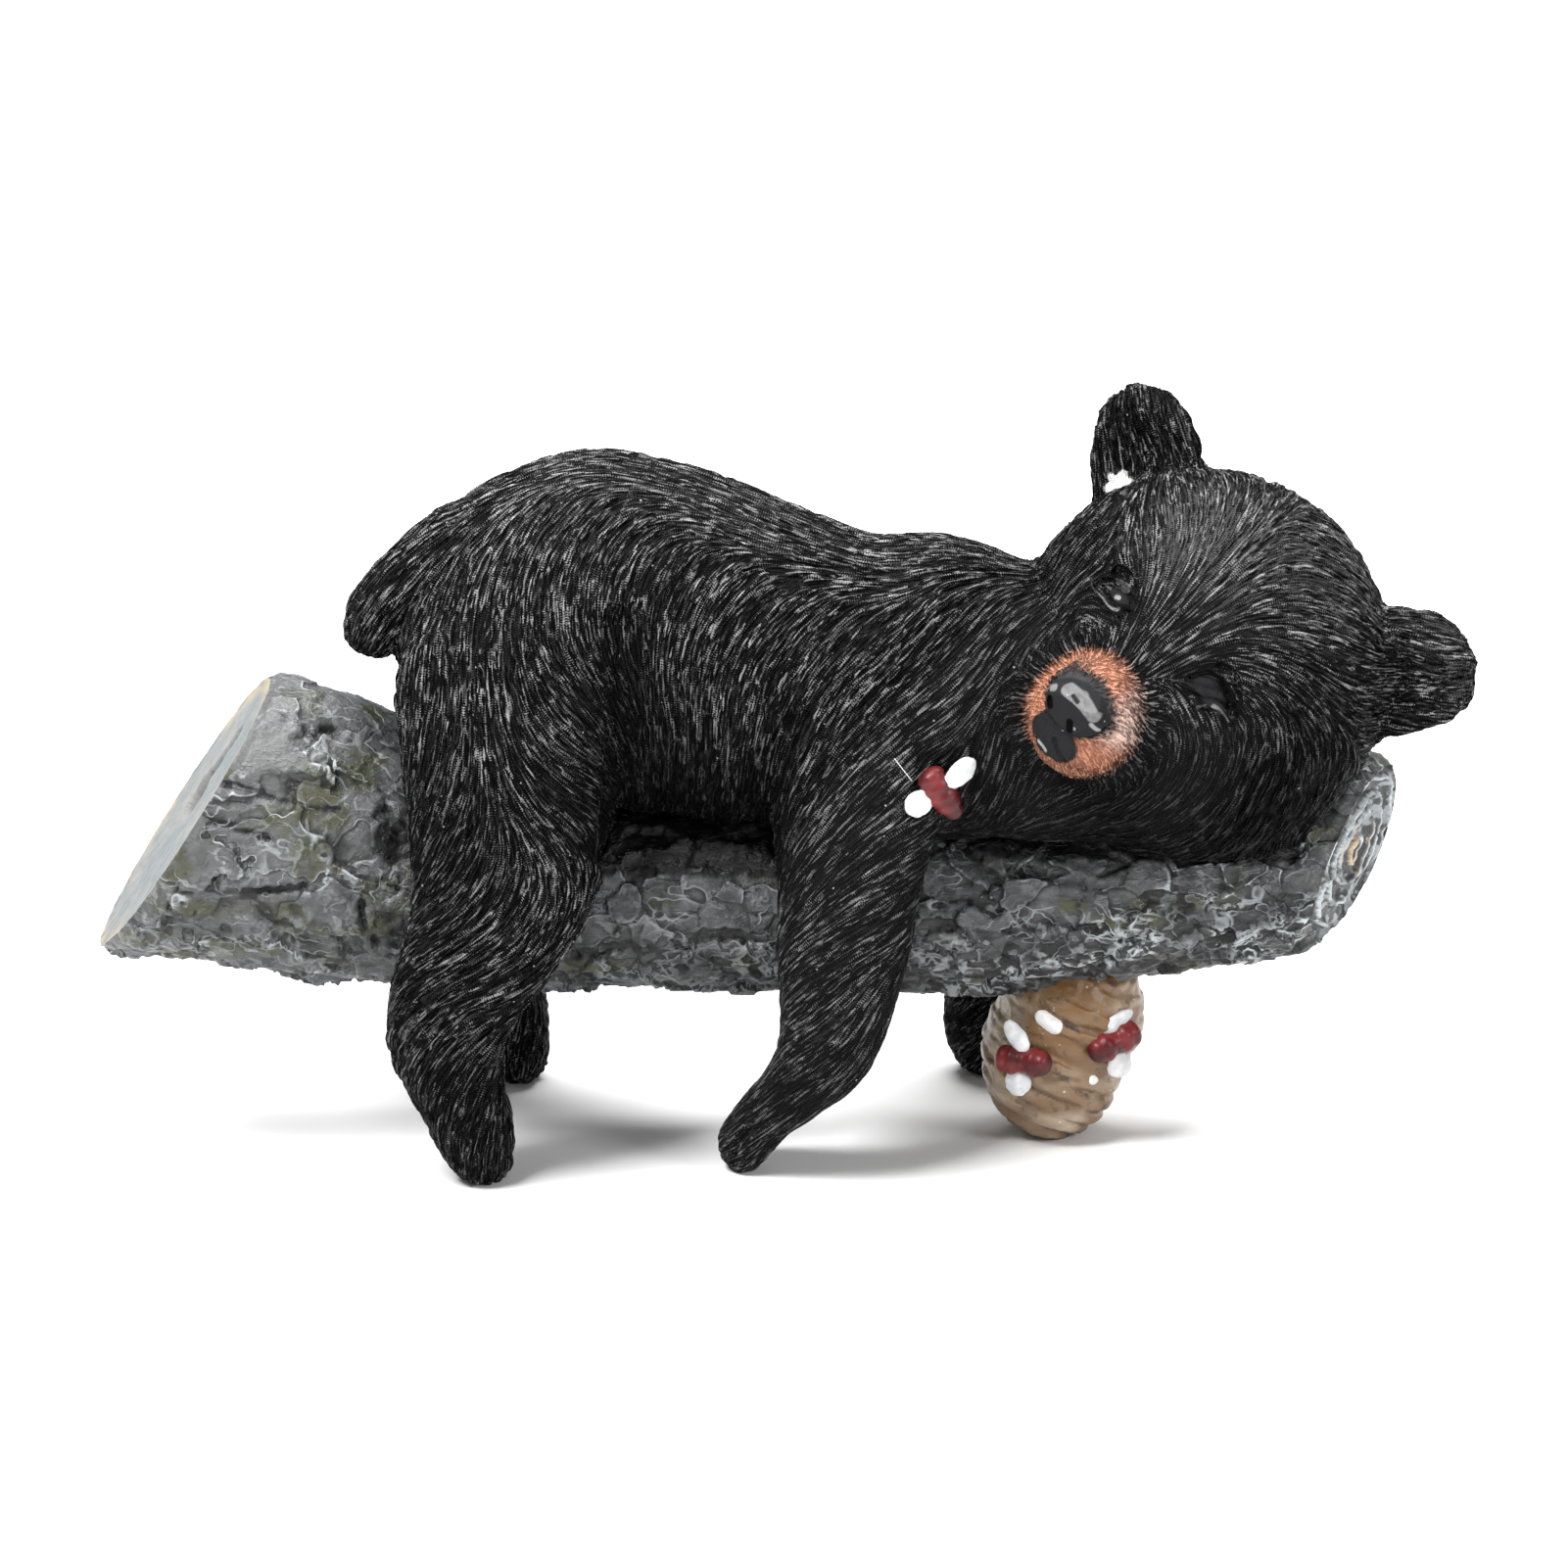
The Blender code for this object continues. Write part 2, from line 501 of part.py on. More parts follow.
def slot_cutter(name, frame, low, high, width, top, depth):
    """A round-ended bar from low to high up the slope, between two depths below the cut."""
    bm = bmesh.new()
    outline = []
    for middle, start in ((high, -90), (low, 90)):
        for step in range(9):
            angle = np.radians(start + step * 22.5)
            outline.append((middle + np.cos(angle) * width / 2, np.sin(angle) * width / 2))
    rings = [[bm.verts.new((x * MM, y * MM, z * MM)) for x, y in outline] for z in (top, -depth)]
    bm.faces.new(rings[0])
    bm.faces.new(rings[1][::-1])
    for i in range(len(outline)):
        j = (i + 1) % len(outline)
        bm.faces.new((rings[0][i], rings[1][i], rings[1][j], rings[0][j]))
    bmesh.ops.recalc_face_normals(bm, faces=bm.faces)
    bm.transform(frame)
    return helper(name, bm)


def keyhole_cutters():
    frame = facing(Vector(TRUNK_CUT_POINT) * MM, TRUNK_CUT_WAY)
    entry, top = KEYHOLE_ENTRY_UP, KEYHOLE_TOP_UP
    half = KEYHOLE_ENTRY_WIDTH / 2
    return (
        slot_cutter("keyhole_entry", frame, entry, entry, 2 * half, 5.0, KEYHOLE_DEPTH),
        slot_cutter("keyhole_slot", frame, entry, top, KEYHOLE_SLOT_WIDTH, 5.0, KEYHOLE_DEPTH - 0.4),
        slot_cutter("keyhole_behind", frame, entry, top, 2 * half - 0.6, -KEYHOLE_LIP, KEYHOLE_DEPTH - 0.2),
    )


def cut_or_join(obj, other, operation):
    change = obj.modifiers.new(other.name, "BOOLEAN")
    change.operation, change.solver, change.object = operation, "EXACT", other
    change.material_mode = "TRANSFER"
    other.hide_render, other.display_type = True, "WIRE"


def main():
    for old in list(bpy.data.objects):
        bpy.data.objects.remove(old)
    make_paints()
    figure = bear()
    limb = branch()
    trunk_cut = block("trunk_cut", TRUNK_CUT_POINT, TRUNK_CUT_WAY)
    ring_cut = ringed_block("ring_cut", RING_END_POINT, RING_END_WAY)
    for cutter in (trunk_cut, ring_cut, *keyhole_cutters()):
        cut_or_join(limb, painted(cutter, "cut_wood"), "DIFFERENCE")
    joined = [limb, nest()]
    for index, details in enumerate(BEES):
        joined += bee(index, *details)
    for piece in joined:
        cut_or_join(figure, piece, "UNION")
    floor = block("floor", (0.0, 0.0, 0.0), (0.0, 0.0, -1.0), along=(1.0, 0.0, 0.0))
    cut_or_join(figure, painted(floor, "fur_black"), "DIFFERENCE")
    figure.name = "sleeping_bear_on_branch"
    for obj in bpy.data.objects:
        obj.location -= Vector(BOX_MIDDLE) * MM


main()
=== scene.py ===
"""The dressed model of the sleeping bear figurine: carved fur, bark, nest, bees and their paint.

It builds the same clay as the solid, finer, then carves the fur and the bark into it. Positions and sizes
are in millimetres in the builder's own frame, and every finished piece moves by BOX_MIDDLE to the model's.
"""

import bmesh
import bpy
import numpy as np
from mathutils import Matrix, Vector


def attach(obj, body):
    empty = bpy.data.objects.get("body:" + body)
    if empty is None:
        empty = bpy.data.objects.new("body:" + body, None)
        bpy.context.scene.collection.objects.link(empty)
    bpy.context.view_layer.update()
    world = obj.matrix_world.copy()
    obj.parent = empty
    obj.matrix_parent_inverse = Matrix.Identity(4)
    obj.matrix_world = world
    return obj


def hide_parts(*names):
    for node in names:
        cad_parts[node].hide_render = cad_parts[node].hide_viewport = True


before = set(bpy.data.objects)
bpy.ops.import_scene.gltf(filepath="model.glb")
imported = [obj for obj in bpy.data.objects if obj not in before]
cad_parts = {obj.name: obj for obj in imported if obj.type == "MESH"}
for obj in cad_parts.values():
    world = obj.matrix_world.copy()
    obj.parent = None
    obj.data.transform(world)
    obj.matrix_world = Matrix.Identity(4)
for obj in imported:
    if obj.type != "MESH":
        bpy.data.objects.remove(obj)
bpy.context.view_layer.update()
NODE = "sleeping_bear_on_branch"

MM = 0.001
# The photo's camera: degrees above level, metres away, metres across the picture there, and what it aims at
CAMERA_TILT, CAMERA_AWAY, CAMERA_SPAN, CAMERA_AIM = 18.0, 1.10, 0.2707, (0.0012, 0.0028, 0.064)
PHOTO_PIXELS, GUIDE_REACH = 1601, 8.0  # pixels across the photo, and round a drawn point to look for skin
BOX_MIDDLE = (-1.2, -2.8, 0.0)
VISUAL_LOW, VISUAL_HIGH = (-119.55, -43.35, 0.0), (117.1, 37.8, 131.9)  # the skin stays inside the CAD box
TO_CAMERA = np.array((0.0, -0.951, 0.309))
# Voxels of the skins in millimetres, and how many times the bear's is softened
BEAR_GRID, BEAR_SOFTENING = ((0.72, 17))
BARK_AROUND, BARK_ALONG, RIM_RINGS = ((200, 372, 44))
NEST_GRID = 0.76
BEE_GRID = 0.35

# Branch: stations along its axis as x, y, z, half depth (y) and half height (z)
BRANCH_STATIONS = (
    (-126, 0, 60, 22, 25.5),
    (-105, 0, 59, 22, 25.8),
    (-91, 0, 57.6, 22, 26.6),
    (-82, 0, 55.6, 22, 26.6),
    (-70, 0, 53.2, 21, 24.4),
    (-55, 0, 49.5, 19.5, 20.8),
    (-40, 0, 46, 18, 18.5),
    (0, 0, 45.5, 18, 18),
    (40, 0, 45.5, 18, 18),
    (72, 0, 49, 17, 17.5),
    (90, -1, 51.5, 16.5, 17),
    (100, -2, 53, 16.5, 16.5),
    (112, -4, 52, 16, 16),
)
# Three sizes of plate that overlap: the share of the warp, the size along x, y and z, and the seed
PLATE_SIZES = ((1.5, (17, 9, 9), 30), (1, (7.5, 4.6, 4.6), 40), (0.8, (4.2, 2.1, 2.1), 50))
BARK_RANGE, BARK_SINK = (-1.7, 1.5), 0.35
# Marks on the stub: long cracks with their radius, the smooth pale collar, the knot and the hollow under it
STUB_CRACKS = (
    (((-97.7, -19, 71.1), (-90.6, -19.3, 69.3), (-83.2, -19.2, 66.8), (-75.7, -18.8, 65.7)), 0.9),
    (((-108.8, -19.3, 54.1), (-100.1, -20.4, 52.7), (-90, -21, 51.6), (-81.7, -21.6, 52.7)), 0.9),
    (((-71.8, -20.7, 49.8), (-71.9, -20.3, 47), (-71.2, -18.9, 43.8)), 0.7),
    (((-97.2, -21.1, 64.3), (-93.1, -21.1, 63.1), (-87.3, -21.6, 61.3)), 0.7),
)
COLLAR_MIDDLE, KNOT_MIDDLE, KNOT_UNDER = (-88, -12, 77), (-75, -4, 79.5), (-77, -11, 77.2)
# Olive paint: places on the stub and their radius
OLIVE_SPOTS = (
    ((-72.5, -15.5, 71.5), 5), ((-88.2, -19.8, 64.4), 4.5), ((-79.9, -21.2, 58.7), 4.5),
    ((-85.2, -19.8, 47.7), 3), ((-109, -20.7, 52.4), 4), ((-82.1, -6.1, 81), 4),
    ((-94.8, -16.8, 73), 3), ((-95, -19.5, 60), 3.5), ((89.5, -24, 66), 5),
)
# Black painted shadow on the branch under the bear: stations of x and the height above which it is black, and a
# spot
SHADOW_ABOVE = (
    (-41, 99), (-40, 58), (-32, 53.5), (-26, 52.5), (-8, 53), (0, 52), (6, 60), (26, 60),
    (32, 55.5), (88, 55), (90, 99),
)
SHADOW_SPOT, SHADOW_SPOT_RADIUS = (-65.5, -20, 60.5), 5.0

# The two ends of the branch: a point on the cut and the way it faces
TRUNK_CUT_POINT, TRUNK_CUT_WAY = (-104.4, 0, 57.6), (-0.847, -0.030, 0.531)
RING_END_POINT, RING_END_WAY = (98.5, -3, 52.1), (0.886, -0.408, -0.220)
RING_STEP = 3.7

# Keyhole in the trunk cut, measured up the slope from the middle of the cut
KEYHOLE_ENTRY_UP, KEYHOLE_TOP_UP = 5, 17.0
KEYHOLE_ENTRY_WIDTH, KEYHOLE_SLOT_WIDTH = 11, 5.4

# Bees' nest
NEST_LUMPS = (
    ((47, 0, 14.6), (12.7, 13.2, 15.6)),
    ((50.2, 0, 22.5), (12.9, 13, 14.1)),
)
NEST_AXIS_POINT, NEST_AXIS_WAY = (47.5, 0, 18), (0.30, 0, 0.954)
NEST_COIL_STEP, NEST_COIL_SLOPE = 4, 0.225
# Folds in the nest with their radius and depth, the brownest spot, and two dabs of white paint
NEST_FOLDS = (
    (
        ((41.8, -10, 31.5), (43.6, -10.2, 28.4), (46.6, -11.8, 25.6), (51, -12.6, 23.6), (54.5, -12.4, 22.6)),
        1.1, 1,
    ),
    (((46, -11, 31.5), (50, -12, 28.6), (54.6, -12, 26.8), (59.5, -10, 26.4)), 0.9, 0.7),
    (((36.4, -6, 23.4), (40, -10, 19), (45, -12.6, 15.6), (52, -12.6, 13.4)), 0.9, 0.7),
)
NEST_BROWN = (49, -12, 27)
NEST_DABS = ((((44.6, -11.4, 25.1), (46.7, -12.1, 23.9)), 1.4), (((53.7, -11.3, 13.7), (54, -11.3, 13.6)), 0.9))

# Lumps of clay: stations x, y, z, half length (x), half width (y), half height (z)
TORSO = (
    (-56, 0, 85.5, 10, 25, 25.5),
    (-48, 0, 90, 12, 27, 28),
    (-33, 0, 92, 12, 28, 31),
    (-16, 0, 89.5, 12, 28, 30.5),
    (0, 0, 85.5, 12, 27.5, 28),
    (14, -1.5, 82, 12, 27, 26.5),
    (28, -2.5, 82, 12, 26, 26.5),
    (42, -3.5, 81, 12, 25, 23.2),
    (54, -4.5, 82, 12, 24, 23.5),
)
CHEST = ((44, -9, 70.5, 24, 18.5, 12.5), (66, -10, 70, 24, 19, 12.5), (75, -10.5, 63.5, 15.5, 16.5, 13))
# The head and chest lie flat on the branch at this height, from behind the near foreleg to the far side
REST_HEIGHT, REST_FROM_X, REST_TO_Y = 58.8, 24, 10.0
TAIL = (
    (-54, 0, 104.5, 10, 12, 10),
    (-62, -1, 100, 8.5, 9, 8),
    (-67.5, -1, 95.8, 7, 8, 6.6),
    (-70, -1, 92.3, 5.5, 7, 5),
)
NEAR_HIND_LEG = (
    (-46, -17, 84, 20, 14, 22),
    (-46, -24, 68, 18, 11, 16),
    (-47, -27, 55, 16, 9.5, 12),
    (-51, -27.5, 44, 13.5, 9.5, 10),
    (-56, -27.5, 34, 11.5, 9, 9),
    (-57.5, -27, 26, 10, 8.5, 8),
    (-55.5, -25.8, 17, 8, 8, 7),
    (-53.5, -24.4, 10, 7.2, 7.5, 6),
    (-52, -23.2, 4.4, 5.6, 6.6, 5.2),
)
FAR_HIND_LEG = (
    (-44, 17, 84, 20, 14, 22),
    (-44, 24, 68, 18, 11, 16),
    (-44, 27, 55, 15, 9.5, 12),
    (-47, 27.5, 44, 12.5, 9.5, 10),
    (-50.5, 27.5, 34, 10, 9, 9),
    (-51.5, 27, 26, 8.8, 8.5, 8),
    (-50, 26.5, 17, 7.4, 8, 7),
    (-48.5, 26.5, 10, 6.6, 7.5, 6),
    (-47.5, 26, 4.4, 5.3, 6.6, 5.2),
)
NEAR_FORE_LEG = (
    (16, -16, 80, 17, 13, 16),
    (12, -23, 66, 14.5, 10.5, 13),
    (11, -26, 54, 12.5, 9, 11),
    (10, -27, 43, 11.5, 8.5, 10),
    (9, -26.5, 33, 10, 8, 8),
    (7, -25, 24, 8.6, 7.6, 7.5),
    (2.2, -22.8, 16.8, 6.4, 7.2, 6),
    (-3, -20, 10.7, 5.2, 6.8, 5),
    (-7, -17.6, 4.6, 4.8, 6.2, 5.4),
)
FAR_FORE_LEG = (
    (38, 15, 80, 14, 12, 15),
    (39, 22, 66, 12.5, 10.5, 13),
    (39, 26.5, 54, 11, 9, 11),
    (39, 28.5, 43, 10, 8.5, 10),
    (38.5, 29.5, 33, 9.5, 8.2, 8),
    (38, 30, 24, 9, 8, 7.5),
    (37, 30, 16, 8.5, 7.6, 6.5),
    (36.5, 30, 9, 8, 7.2, 6),
    (36.5, 30, 4.4, 6.5, 6.5, 5.2),
)

# Soft creases of flank and elbow: points on the skin, radius, depth and how much painted shade darkens the fur
# near it
CREASES = (
    (((-27, -28, 100), (-25.5, -28, 88), (-26, -27, 74), (-31, -26, 60)), 5.2, 2.9, 0.85),
    (((0, -27, 84), (-3, -27.5, 74), (-2, -27, 62)), 5, 1, 0.5),
)
# Gaps between toes: where each starts on the top of a paw and where it ends at the tip
TOE_GAPS = (
    ((-56.5, -33.5, 9), (-54.5, -32, 0.5)),
    ((-51.5, -34, 9), (-51, -32.5, 0.5)),
    ((-48, 33.5, 9), (-47, 32.5, 0.5)),
    ((-7, -25.5, 9.5), (-9.5, -23, 2)),
    ((-3.5, -26.5, 7), (-6, -24, 0.5)),
    ((33.5, 37, 8), (34, 36, 0.5)),
    ((39.5, 37, 8), (39, 36, 0.5)),
)
TOE_GAP_RADIUS, TOE_GAP_DEPTH = 1.7, 0.9

# Head: its centre, and the ways that its muzzle and its crown point. In the head's own frame +X is the
# bear's right, +Y the way out along the muzzle and +Z the crown.
HEAD_CENTRE = (70, -6, 87.3)
MUZZLE_WAY = (-0.47, -0.877, 0.117)
CROWN_WAY = (0.51, -0.156, 0.846)
SKULL = ((-0.7, 0, 0), (33.2, 29, 34.8))
FACE = ((0, 7, -8), (31, 23, 24))
CHEEK = ((16, 8, -8), (15, 15, 15))
BROW = ((9.5, 15, 14), (11, 9, 9))
EAR = (
    (23.5, -6, 14.7, 11.6, 4.6, 11.6),
    (28.5, -7, 19.2, 10.9, 4.2, 10.9),
    (32.3, -8, 22.5, 10, 3.8, 10),
)
EAR_HOLLOW = ((31, -3, 20.5), 9, 3.8)
EAR_FITS = ((1, (0, 0, 0), 1), (-1, (1.75, 0, 0.25), 1.06))  # each side's shift and girth
MUZZLE = (
    (0.3, 19, -7, 14.5, 8, 14),
    (0.8, 27, -7.3, 10.8, 7.5, 11.3),
    (1.4, 34, -7, 9.3, 6.5, 10),
)
NOSE = ((1.8, 39.3, -3.6), (6.4, 4.2, 4.3))
# The shut eye: where the lids meet, and the fold outside it
LIDS_MEET = ((-7.6, 8.4), (-8.4, 9.5), (-9.7, 10.5), (-11.5, 10.7), (-12.9, 10.3), (-14.4, 9.2), (-15.6, 7.8))
LID_FOLD = ((-10.2, 12.8), (-12.2, 13), (-13.6, 12.4), (-14.7, 11.1), (-15.9, 9.5), (-16.8, 7.8))
# Face: strokes as seen along the muzzle, each a path of x and z in the head's frame, its radius and its depth
FACE_STROKES = (
    # the bear's right eye, half open: lower lid's groove and rim, upper lid's edge, lid and fold
    (((16.8, 9), (15, 9.3), (13.2, 9.1), (11.5, 9), (10, 9.2), (8.6, 10)), 0.6, 0.75),
    (((17, 8.3), (15.2, 8.2), (13.4, 8.1), (11.6, 8), (10, 8.2), (8.4, 9)), 0.65, -0.45),
    (((16.8, 9.2), (15, 10.3), (13.3, 11.2), (11.6, 11.9), (10.2, 12), (8.8, 11.5), (7.8, 10.4)), 0.55, 0.75),
    (((16, 10.6), (14.2, 11.9), (12.4, 12.8), (10.6, 13), (8.9, 12.4)), 0.8, -0.5),
    (((16.2, 12), (14, 13.6), (11.6, 14.5), (9.4, 14.2)), 0.9, 0.7),
    # the bear's left eye, shut: where the lids meet, the fold outside it, the lower lid's groove and rim
    (LIDS_MEET, 0.65, 0.9),
    (LID_FOLD, 0.8, 0.7),
    (((-9.4, 6.4), (-11.4, 6.8), (-13.4, 7.8), (-15.2, 7.9)), 0.55, 0.45),
    (((-10.8, 5.4), (-12.4, 6.1), (-14.1, 6.8), (-15.4, 6.8), (-17.2, 6.2)), 0.7, -0.5),
    # nostrils with the grooves that run out from them, the cleft between and the lips
    (((5.1, -4), (3.7, -4.5)), 1, 1.5),
    (((0.3, -4.8), (-1.3, -6.3)), 0.95, 1.5),
    (((4.8, -4.3), (6, -3.2), (7.2, -3.6), (7.6, -5)), 0.6, 0.7),
    (((-1, -5.8), (-2.6, -5.6), (-3.8, -4.6), (-4.2, -3.4)), 0.5, 0.5),
    (((1.9, -6), (1.8, -7.8), (1.6, -10.4)), 0.5, 0.5),
    (((1.6, -10.4), (4, -12.4), (7, -13.8), (9.4, -13.2)), 0.7, 0.7),
    (((1.6, -10.4), (-1, -12.2), (-3.6, -12.8), (-6, -12)), 0.7, 0.7),
)
# Grey touches of paint on the face, some of them painted highlights and glints, as seen along the muzzle: a
# path of x and z, its radius and how grey it is
FACE_LIGHTS = (
    # the open eye: lower lid, the line inside it, a painted glint on the ball and the tuft above, a painted
    # highlight on the upper lid's edge
    (((16.9, 8.6), (15.2, 8.3), (13.4, 8.4), (11.6, 8.3), (10.5, 8.5), (9.6, 8.9)), 0.19, 0.6),
    (((14.9, 9.5), (13.3, 10.3)), 0.28, 0.45),
    (((11.4, 10.2), (10.8, 10.5)), 0.38, 0.8),
    (((13.3, 11.8), (12.4, 12.4), (11.4, 12.8), (10.6, 13.1)), 0.3, 0.9),
    (((13.1, 11.7), (11.8, 11.8), (10.6, 12)), 0.32, 1),
    # the shut eye: a pale lower rim
    (((-13.4, 7), (-14.3, 7), (-15.4, 6.8), (-16.8, 6.3)), 0.35, 0.42),
    (((-11.6, 5.2), (-12.3, 6.3)), 0.3, 0.25),
    # the nose: beside its top, round each nostril with a painted glint in one, and painted wet glints on the
    # lips
    (((7, -2.8), (6.5, -2.3)), 0.6, 0.36),
    (((8.2, -4), (7.9, -4.9), (7.2, -5.8)), 0.3, 0.6),
    (((-2.6, -3), (-3.8, -3.4)), 0.35, 0.6),
    (((-0.5, -5.5), (-0.6, -5.7)), 0.22, 0.7),
    (((4.4, -12.9), (3.1, -13), (2.3, -13.3)), 0.35, 0.7),
)
MUZZLE_MIDDLE, MUZZLE_HALF = (2.3, -6.7), (10.7, 10.9)
LEATHER_MIDDLE, LEATHER_HALF = (2.3, -3.1), (6.4, 4.4)
OPEN_EYE_MIDDLE, OPEN_EYE_HALF = (12.2, 10.3), (4.6, 1.8)
SHUT_EYE_MIDDLE, SHUT_EYE_HALF = (-12.2, 8.8), (4.2, 2.3)
UNDER_EYE_MIDDLE, UNDER_EYE_HALF = (-12, 4.7), (3.8, 1.9)  # grey hairs under the shut eye
# How much grey the fur shows: partly the dry brush, partly painted light, near 0 for painted shade in creases,
# under the belly and under the head, above 1 for a painted sheen on the top of the head and back: a point and a
# share
BRUSH_AND_SHEEN_SPOTS = (
    (-26, -24, 79, 0.05), (-17, -9, 61, 0), (-2, -24, 65, 0.1), (-59, -32, 64, 0.4), (72, -36, 79, 0.1),
    (87, -29, 70, 0.1), (33, -18, 61, 0.1), (55, -26, 64, 0.05), (75, -26, 62, 0), (59, 12, 124, 0.75),
    (69, -34, 97, 0.15), (39, -22, 97, 0.2), (50, -24, 88, 0.2), (97, -25, 81, 0.15), (61, -36, 70, 0.15),
    (-55, -28, 94, 1), (-45, -23, 106, 1), (-39, -30, 88, 0.9), (-16, -27, 97, 0.9), (-2, -27, 87, 0.8),
    (-46, -37, 50, 0.9), (13, -26, 93, 0.9), (26, -20, 102, 0.9), (11, -35, 48, 0.7), (16, -34, 68, 0.9),
    (68, -25, 113, 1.7), (75, -32, 105, 1.7), (48, -17, 104, 0.4), (90, -30, 98, 1.3), (62, -31, 101, 1.3),
    (88, -20, 110, 1.5), (109, -20, 90, 1.5), (-33, -7, 122, 1.3), (-7, -8, 115, 1.3), (-60, -10, 112, 1.1),
    (22, -8, 112, 1.1),
)
BRUSH_AND_SHEEN_REACH, BRUSH_AND_SHEEN_PLAIN = 9, 0.55
MOUTH_MIDDLE, MOUTH_HALF = (2.4, -10.6), (4.9, 3.6)
# Where the mesh is finest: middles and radii as seen along the muzzle, in front of this y in the head's frame
FINEST, FINEST_FROM_Y = (((2, -6), 12.5), ((12, 11), 6.5), ((-12.5, 9), 6.5)), 18.0
HIDDEN_FROM_Y, HIDDEN_BELOW = 8, 62.0  # the far legs keep the coarse mesh
NOSE_SLIT = ((3, -1.1), (1.5, -1.3))  # a dark slit in the nose's top
# A painted highlight along the nose's top: its path and its radius
NOSE_TOP_HIGHLIGHT, NOSE_TOP_HIGHLIGHT_RADIUS = ((4.5, -1), (2, -0.8), (-2.2, -1.7)), 0.9
NOSTRIL_HOLES = (((5.9, -4.3), (5.3, -5.2), 0.75), ((0.7, -5.2), (0.1, -6.5), 0.7))  # two ends and a radius
EYEBALL = ((11.6, 25.2, 10.4), 3.7, 1.2)
SHUT_LID = ((-12.2, 25.4, 8.6), 3.4, 0.9)
# The two flats of the nose leather: a point on each and the way that it faces
NOSE_FLATS = (((1.9, 42.3, -4), (0, 0.97, -0.24)), ((1.9, 41.2, -0.9), (0, 0.50, 0.87)))
STAR_MIDDLE, STAR_RADIUS = (57.3, 8.4, 115.6), 2.7
WHITE_LINE = ((18.5, -30.6, 78.4), (19.9, -30.9, 76.6), (21.4, -30.9, 74.6))
# The dent of each eye's socket: middle, radius and depth
EYE_SOCKET = ((11.5, 25.8, 10), 8.5, 1.8)

# Bees: where the body is, the way its length points, the way out of the surface, and its half sizes
BEES = (
    ((26.4, -29.8, 72.2), (0.53, 0.10, -0.84), (0.30, -0.94, 0.06), (5.2, 2.75, 2.2)),
    ((41.3, -12.5, 17.7), (0.97, -0.22, 0), (-0.40, -0.90, 0.12), (5.3, 2.7, 2.6)),
    ((57.2, -10.5, 20.4), (0.85, 0.42, 0.30), (0.48, -0.86, -0.05), (5.3, 2.7, 2.6)),
)
# The two wings of each bee: the middle, the way of the long side, and half sizes
WINGS = (
    (((29.6, -30, 75.8), (0.70, 0.34, 0.63), (3.4, 2.1, 0.9)),
     ((22.6, -31.2, 70.6), (0.9, 0.2, 0.4), (2.7, 2.4, 0.9))),
    (((40.2, -12.1, 21.9), (-0.50, 0.40, 0.76), (3.6, 1.8, 0.9)),
     ((40.5, -12.6, 13.8), (1, 0, 0.1), (2.5, 2.6, 0.9))),
    (((57.6, -9.9, 23.9), (0.62, 0.66, 0.42), (3.6, 1.7, 0.9)),
     ((58.2, -10.1, 16), (0.9, 0.5, 0.1), (2.5, 2.5, 0.9))),
)
THREAD_RADIUS, THREAD_GRID = 0.09, 0.045
# Lumps along each bee's body: the place and the girth as shares of its half sizes
BEE_SEGMENTS = (
    ((-0.62, 0.92), (-0.26, 1), (0.12, 0.98), (0.46, 0.86), (0.76, 0.60)),
    ((-0.64, 0.92), (-0.34, 1), (0.04, 0.80), (0.40, 1), (0.68, 0.84)),
    ((-0.66, 0.84), (-0.36, 1), (-0.02, 0.80), (0.36, 1), (0.66, 0.92)),
)
